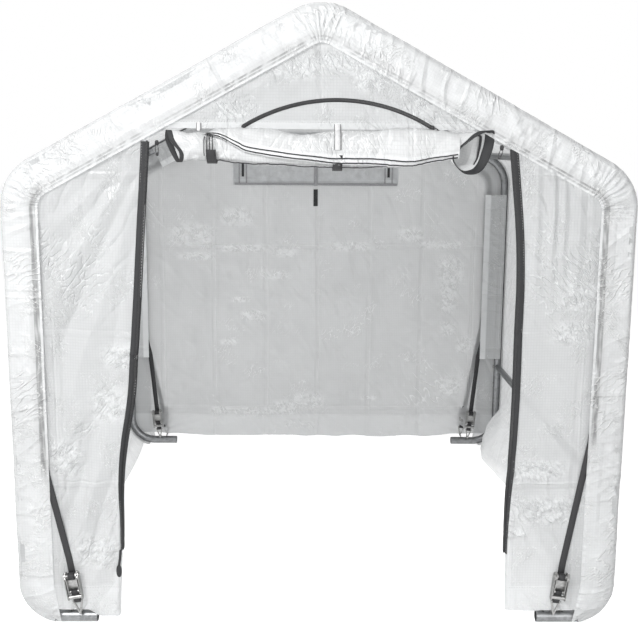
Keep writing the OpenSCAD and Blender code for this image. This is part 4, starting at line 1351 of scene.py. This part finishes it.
# Straps

def strap_axes(side, end, inner):
    """Origin at the hook's hole, then the directions across, outward and along of one strap."""
    x = INNER_HOLE_X if inner else OUTER_HOLE_X
    top = INNER_TOP_H if inner else STRAP_TOP_H[side]
    lean = math.atan2(STRAP_TOP_X - x, top - FOOT_TOP)
    y = INNER_WEB_Y if inner else OUTER_WEB_Y
    out = -end if inner else end
    return (np.array([side * x, end * y, FOOT_TOP]), np.array([side * math.cos(lean), 0, -math.sin(lean)]),
            np.array([0.0, out, 0.0]), np.array([side * math.sin(lean), 0, math.cos(lean)]))


def add_strap_end(cloth, side, end, inner):
    """Webbing at a ratchet: the turns on its spool and the doubled link down to the hook."""
    s = setting("strap")
    origin, across, out, along = strap_axes(side, end, inner)
    t = np.linspace(-0.5 * math.pi, 5.3 * math.pi, 110)
    r = np.linspace(0.0110, 0.0079, 110)
    spool = origin + along * SPOOL_S + out * SPOOL_OUT
    wound = spool + np.outer(np.sin(t) * r, out) + np.outer(np.cos(t) * r, along)
    cloth.band(wound, across, unit(wound - spool), s.width, 0.0011)
    loop, bolt = (origin + along * a + out * b for a, b in ((LOOP_S, LOOP_OUT), (BOLT_S, SPOOL_OUT)))
    away = unit(bolt - loop)
    normal = unit(np.cross(across, away))
    t = np.linspace(0, 2 * math.pi, 60)
    turn = np.outer(np.cos(t), away) + np.outer(np.sin(t), normal)
    ring = np.where(np.cos(t)[:, None] < 0, loop, bolt) + turn * LINK_R
    cloth.band(ring, across, unit(ring - (loop + bolt) / 2), s.width, 0.0012)
    start = origin + along * SPOOL_S
    return start, start + along * 0.05


def make_cover_webbing():
    """One strap over each rib in the band's pocket, from ratchet to ratchet."""
    s = setting("strap")
    cloth = Cloth()
    inner_edge = COVER_OFF - BAND_W
    first, last = (RIB.s_at(STRAP_TOP_H[side] + 0.17) for side in (RIGHT, LEFT))
    for end in (FRONT, REAR):
        (right, right_up), (left, left_up) = (add_strap_end(cloth, side, end, False)
                                              for side in (RIGHT, LEFT))
        x, z = RIB.at(np.linspace(first, RIB.length - last, 240), inner_edge + 0.024)
        pocket = np.stack([x, np.full(240, end * POCKET_Y), z], 1)
        right_in, left_in = ((side * POCKET_X, end * POCKET_Y, STRAP_TOP_H[side] + 0.01)
                             for side in (RIGHT, LEFT))
        path = np.concatenate([[right, right_up, right_in], pocket, [left_in, left_up, left]])
        cloth.tape(even(path, 520), (0, end, 0), s.width, s.thick)
    obj = cloth.make("cover_webbing", finish("webbing"))
    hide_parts("cover_straps")


def make_panel_webbing():
    """A strap behind each leg, from its ratchet up into the panel's return."""
    s = setting("strap")
    cloth = Cloth()
    x, z = RIB.at(np.linspace(RIB.s_at(INNER_TOP_H + 0.09), RIB.s_at(1.225), 60), PANEL_OFF - 0.086)
    for end in (FRONT, REAR):
        y = end * (RETURN_Y - 0.0012)
        for side in (RIGHT, LEFT):
            low, low_up = add_strap_end(cloth, side, end, True)
            pocket = np.stack([side * x, np.full(60, y), z], 1)
            path = np.concatenate([[low, low_up, (side * STRAP_TOP_X, y, INNER_TOP_H)], pocket])
            cloth.tape(even(path, 160), (0, -end, 0), s.width, s.thick)
    obj = cloth.make("panel_webbing", finish("webbing"))
    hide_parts("panel_straps")


# Small fittings

def make_fasteners():
    """Spring buttons at the tube joints and bolt heads at the rails."""
    cloth = Cloth()
    button, bolt = ((0.007, 0.010, 0.010), 2.0), ((0.008, 0.015, 0.015), 2.4)
    heads = ((0.288, 0.0, button), (0.312, 0.0, button), (SIDE_RAIL_H, 0.002, bolt),
             (EAVE_C - 0.125, 0.0, button))
    for side in (LEFT, RIGHT):
        for end in (FRONT, REAR):
            for z, inset, (size, power) in heads:
                add_lump(cloth, (side * (LEG_X - TUBE_R - inset), end * RIB_Y, z), AXES, size, power, 10)
    cloth.make("tube_fasteners", finish("zinc_steel"))


def stitch_row(cloth, path, pitch=0.0075, length=0.0052, thick=0.0011):
    """A row of stitches along a path, on the side that faces the front."""
    p = even(path, max(3, int(run(path)[-1] / pitch)))
    along = unit(np.gradient(p, axis=0))
    o = np.array(FORWARD, float)
    ring = [(-0.5, 0), (0, 0.5), (0.5, 0), (0, -0.3)]
    for q, a, c in zip(p, along, np.cross(along, o)):
        rows = [[q + a * length * e + c * thick * i * k + o * thick * (j * k + 0.2) for i, j in ring]
                for e, k in ((-0.5, 0.3), (0, 1.0), (0.5, 0.3))]
        cloth.grid(np.array(rows), np.zeros((3, 4, 2)), closed=True)


def make_stitching():
    """Thread along the flaps' hems, the door zips, the gable's hem and the rear panel's hem."""
    cloth = Cloth()
    z = FLAP_HEM_LINE - 0.004
    for side in (LEFT, RIGHT):
        x = np.linspace(zip_edge(side, z) + 0.004, LEG_X - 0.085, 60)
        stitch_row(cloth, flap_surface(side, x, np.full(60, z)) + [0, -0.0012, 0])
        path, facing = zip_path(side, *ZIP_ENDS[side], 200, 0.86)
        stitch_row(cloth, path + 0.0006 * facing)
    x = np.linspace(-0.44, 0.44, 160)
    stitch_row(cloth, gable_surface(x, np.full(160, GABLE_HEM_H + 0.019)) + [0, -0.0014, 0])
    x = np.linspace(-0.80, 0.80, 260)
    stitch_row(cloth, rear_surface(x, np.full(260, REAR_HEM_LINE - 0.003), PANEL_Y) + [0, -0.0008, 0])
    cloth.make("hem_stitching", finish("thread"))


# Stage

def white_to_camera(f, lit, white):
    """A shader that the camera, gloss and glass see as one thing and the rest of the light as another."""
    path = f.node("LightPath")
    seen = f.most(path.outputs["Is Glossy Ray"], path.outputs["Is Transmission Ray"])
    return f.blend(f.most(path.outputs["Is Camera Ray"], seen), lit, white)


def make_stage():
    """The camera, four soft lights, the white surround and the pale floor."""
    s = setting("stage")
    scene = bpy.context.scene
    scene.view_settings.view_transform = "Standard"
    level_cos = math.cos(s.tilt)
    forward = Vector((math.sin(s.yaw) * level_cos, math.cos(s.yaw) * level_cos, -math.sin(s.tilt)))
    level = Vector((math.cos(s.yaw), -math.sin(s.yaw), 0))
    upright = level.cross(forward)
    right = math.cos(s.roll) * level + math.sin(s.roll) * upright
    up = -math.sin(s.roll) * level + math.cos(s.roll) * upright
    data = bpy.data.cameras.new("camera")
    data.sensor_fit, data.sensor_width, data.lens = "HORIZONTAL", 36.0, s.lens
    camera = bpy.data.objects.new("camera", data)
    turn = Matrix((right, up, -forward)).transposed().to_4x4()
    camera.matrix_world = Matrix.Translation(Vector(s.place)) @ turn
    scene.collection.objects.link(camera)
    scene.camera = camera

    for name, place, aim, size, power in (
            ("key_light", (-2.3, -3.8, 3.4), (0, -0.6, 0.8), 1.4, s.key),
            ("fill_light", (1.2, -4.8, 1.9), (0, -0.6, 0.9), 2.0, s.fill),
            ("top_light", (0.4, 0.8, 4.6), (0, 0.2, 0.9), 2.6, s.top),
            ("back_light", (1.2, 4.4, 2.4), (0, 0.8, 0.8), 2.6, s.back)):
        lamp = bpy.data.lights.new(name, "AREA")
        lamp.shape, lamp.size, lamp.energy = "SQUARE", size, power
        obj = bpy.data.objects.new(name, lamp)
        turn = (Vector(aim) - Vector(place)).to_track_quat("-Z", "Y").to_matrix().to_4x4()
        obj.matrix_world = Matrix.Translation(place) @ turn
        scene.collection.objects.link(obj)

    scene.world = bpy.data.worlds.new("surround")
    f = Finish("surround", scene.world)
    lit = f.node("Background", {"Color": (1, 1, 1, 1), "Strength": s.sky}).outputs[0]
    white = f.node("Background", {"Color": (1, 1, 1, 1), "Strength": 1.0}).outputs[0]
    f.node("OutputWorld", {"Surface": white_to_camera(f, lit, white)})

    f = Finish("pale_floor")
    grain = f.noise(f.node("TexCoord").outputs["Object"], 3.0)
    base = f.ramp(grain, (0.3, (0.86, 0.86, 0.86)), (0.7, (0.88, 0.88, 0.88)))
    paint = f.node("BsdfDiffuse", {"Color": base}).outputs[0]
    glow = f.node("Emission", {"Color": (1, 1, 1, 1), "Strength": 0.72}).outputs[0]
    lifted = f.node("AddShader", {0: paint, 1: glow}).outputs[0]
    mesh = bpy.data.meshes.new("floor")
    wide = 30
    corners = (-wide, -wide, 0), (wide, -wide, 0), (wide, wide, 0), (-wide, wide, 0)
    mesh.from_pydata(corners, [], [(0, 1, 2, 3)])
    mesh.materials.append(f.out(white_to_camera(f, paint, lifted)))
    floor = bpy.data.objects.new("floor", mesh)
    floor.location.z = -0.0005
    scene.collection.objects.link(floor)
    floor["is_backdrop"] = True


# Operators

class GREENHOUSE_OT_stage(bpy.types.Operator):
    """Adds the camera, the lights, the surround and the floor"""
    bl_idname = "greenhouse.stage"
    bl_label = "Stage"

    def execute(self, context):
        make_stage()
        return {"FINISHED"}


class GREENHOUSE_OT_steel(bpy.types.Operator):
    """Finishes the tubes, rails, ratchets and hooks"""
    bl_idname = "greenhouse.steel"
    bl_label = "Steel"

    def execute(self, context):
        dress_steel()
        return {"FINISHED"}


class GREENHOUSE_OT_cover(bpy.types.Operator):
    """Lays the main cover over the ribs and rails"""
    bl_idname = "greenhouse.cover"
    bl_label = "Cover"

    def execute(self, context):
        make_cover()
        return {"FINISHED"}


class GREENHOUSE_OT_bands(bpy.types.Operator):
    """Folds the cover's edge bands over both ends"""
    bl_idname = "greenhouse.bands"
    bl_label = "Edge bands"

    def execute(self, context):
        make_band(FRONT, 1150, 44, 1)
        make_band(REAR, 640, 20, 2)
        return {"FINISHED"}


class GREENHOUSE_OT_flaps(bpy.types.Operator):
    """Hangs the two flaps beside the doorway"""
    bl_idname = "greenhouse.flaps"
    bl_label = "Front flaps"

    def execute(self, context):
        make_flap(LEFT)
        make_flap(RIGHT)
        return {"FINISHED"}


class GREENHOUSE_OT_gable(bpy.types.Operator):
    """Stretches the gable above the door"""
    bl_idname = "greenhouse.gable"
    bl_label = "Gable"

    def execute(self, context):
        make_gable()
        return {"FINISHED"}


class GREENHOUSE_OT_rolled_door(bpy.types.Operator):
    """Rolls the door up under the gable"""
    bl_idname = "greenhouse.rolled_door"
    bl_label = "Rolled door"

    def execute(self, context):
        make_rolled_door()
        return {"FINISHED"}


class GREENHOUSE_OT_zips(bpy.types.Operator):
    """Sews in the door zips and the half-moon zip"""
    bl_idname = "greenhouse.zips"
    bl_label = "Zips"

    def execute(self, context):
        make_zips()
        return {"FINISHED"}


class GREENHOUSE_OT_rear_panel(bpy.types.Operator):
    """Hangs the rear panel with its window"""
    bl_idname = "greenhouse.rear_panel"
    bl_label = "Rear panel"

    def execute(self, context):
        make_rear_panel()
        return {"FINISHED"}


class GREENHOUSE_OT_rear_window(bpy.types.Operator):
    """Adds the window's screen, flap and ties"""
    bl_idname = "greenhouse.rear_window"
    bl_label = "Rear window"

    def execute(self, context):
        make_rear_window()
        return {"FINISHED"}


class GREENHOUSE_OT_returns(bpy.types.Operator):
    """Folds the end panels back behind the ribs"""
    bl_idname = "greenhouse.returns"
    bl_label = "Returns"

    def execute(self, context):
        make_returns(FRONT)
        make_returns(REAR)
        return {"FINISHED"}


class GREENHOUSE_OT_webbing(bpy.types.Operator):
    """Threads the straps through pockets and ratchets"""
    bl_idname = "greenhouse.webbing"
    bl_label = "Webbing"

    def execute(self, context):
        make_cover_webbing()
        make_panel_webbing()
        return {"FINISHED"}


class GREENHOUSE_OT_fasteners(bpy.types.Operator):
    """Adds the spring buttons and bolt heads"""
    bl_idname = "greenhouse.fasteners"
    bl_label = "Fasteners"

    def execute(self, context):
        make_fasteners()
        return {"FINISHED"}


class GREENHOUSE_OT_stitching(bpy.types.Operator):
    """Stitches the hems"""
    bl_idname = "greenhouse.stitching"
    bl_label = "Stitching"

    def execute(self, context):
        make_stitching()
        return {"FINISHED"}


OPERATORS = (
    GREENHOUSE_OT_stage, GREENHOUSE_OT_steel, GREENHOUSE_OT_cover, GREENHOUSE_OT_bands, GREENHOUSE_OT_flaps,
    GREENHOUSE_OT_gable, GREENHOUSE_OT_rolled_door, GREENHOUSE_OT_zips, GREENHOUSE_OT_rear_panel,
    GREENHOUSE_OT_rear_window, GREENHOUSE_OT_returns, GREENHOUSE_OT_webbing, GREENHOUSE_OT_fasteners,
    GREENHOUSE_OT_stitching,
)


class GREENHOUSE_PT_panel(bpy.types.Panel):
    """Lists the greenhouse's settings and operators"""
    bl_idname = "GREENHOUSE_PT_panel"
    bl_label = "Greenhouse"
    bl_space_type = "VIEW_3D"
    bl_region_type = "UI"
    bl_category = "Greenhouse"

    def draw(self, context):
        for name, group in SETTINGS.items():
            for prop in group.__annotations__:
                self.layout.prop(getattr(context.scene, name), prop)
        for op in OPERATORS:
            self.layout.operator(op.bl_idname)


CLASSES = (*SETTINGS.values(), *OPERATORS, GREENHOUSE_PT_panel)


def register():
    for cls in CLASSES:
        bpy.utils.register_class(cls)
    for name, group in SETTINGS.items():
        setattr(bpy.types.Scene, name, bpy.props.PointerProperty(type=group))


def unregister():
    for name in SETTINGS:
        delattr(bpy.types.Scene, name)
    for cls in reversed(CLASSES):
        bpy.utils.unregister_class(cls)


def main():
    register()
    for op in OPERATORS:
        getattr(bpy.ops.greenhouse, op.bl_idname.split(".")[1])()
    boxes = {"cad": CAD_BOX, "visual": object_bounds()}
    {name: [[float(c) for c in corner] for corner in box] for name, box in boxes.items()}


if __name__ == "__main__":
    main()
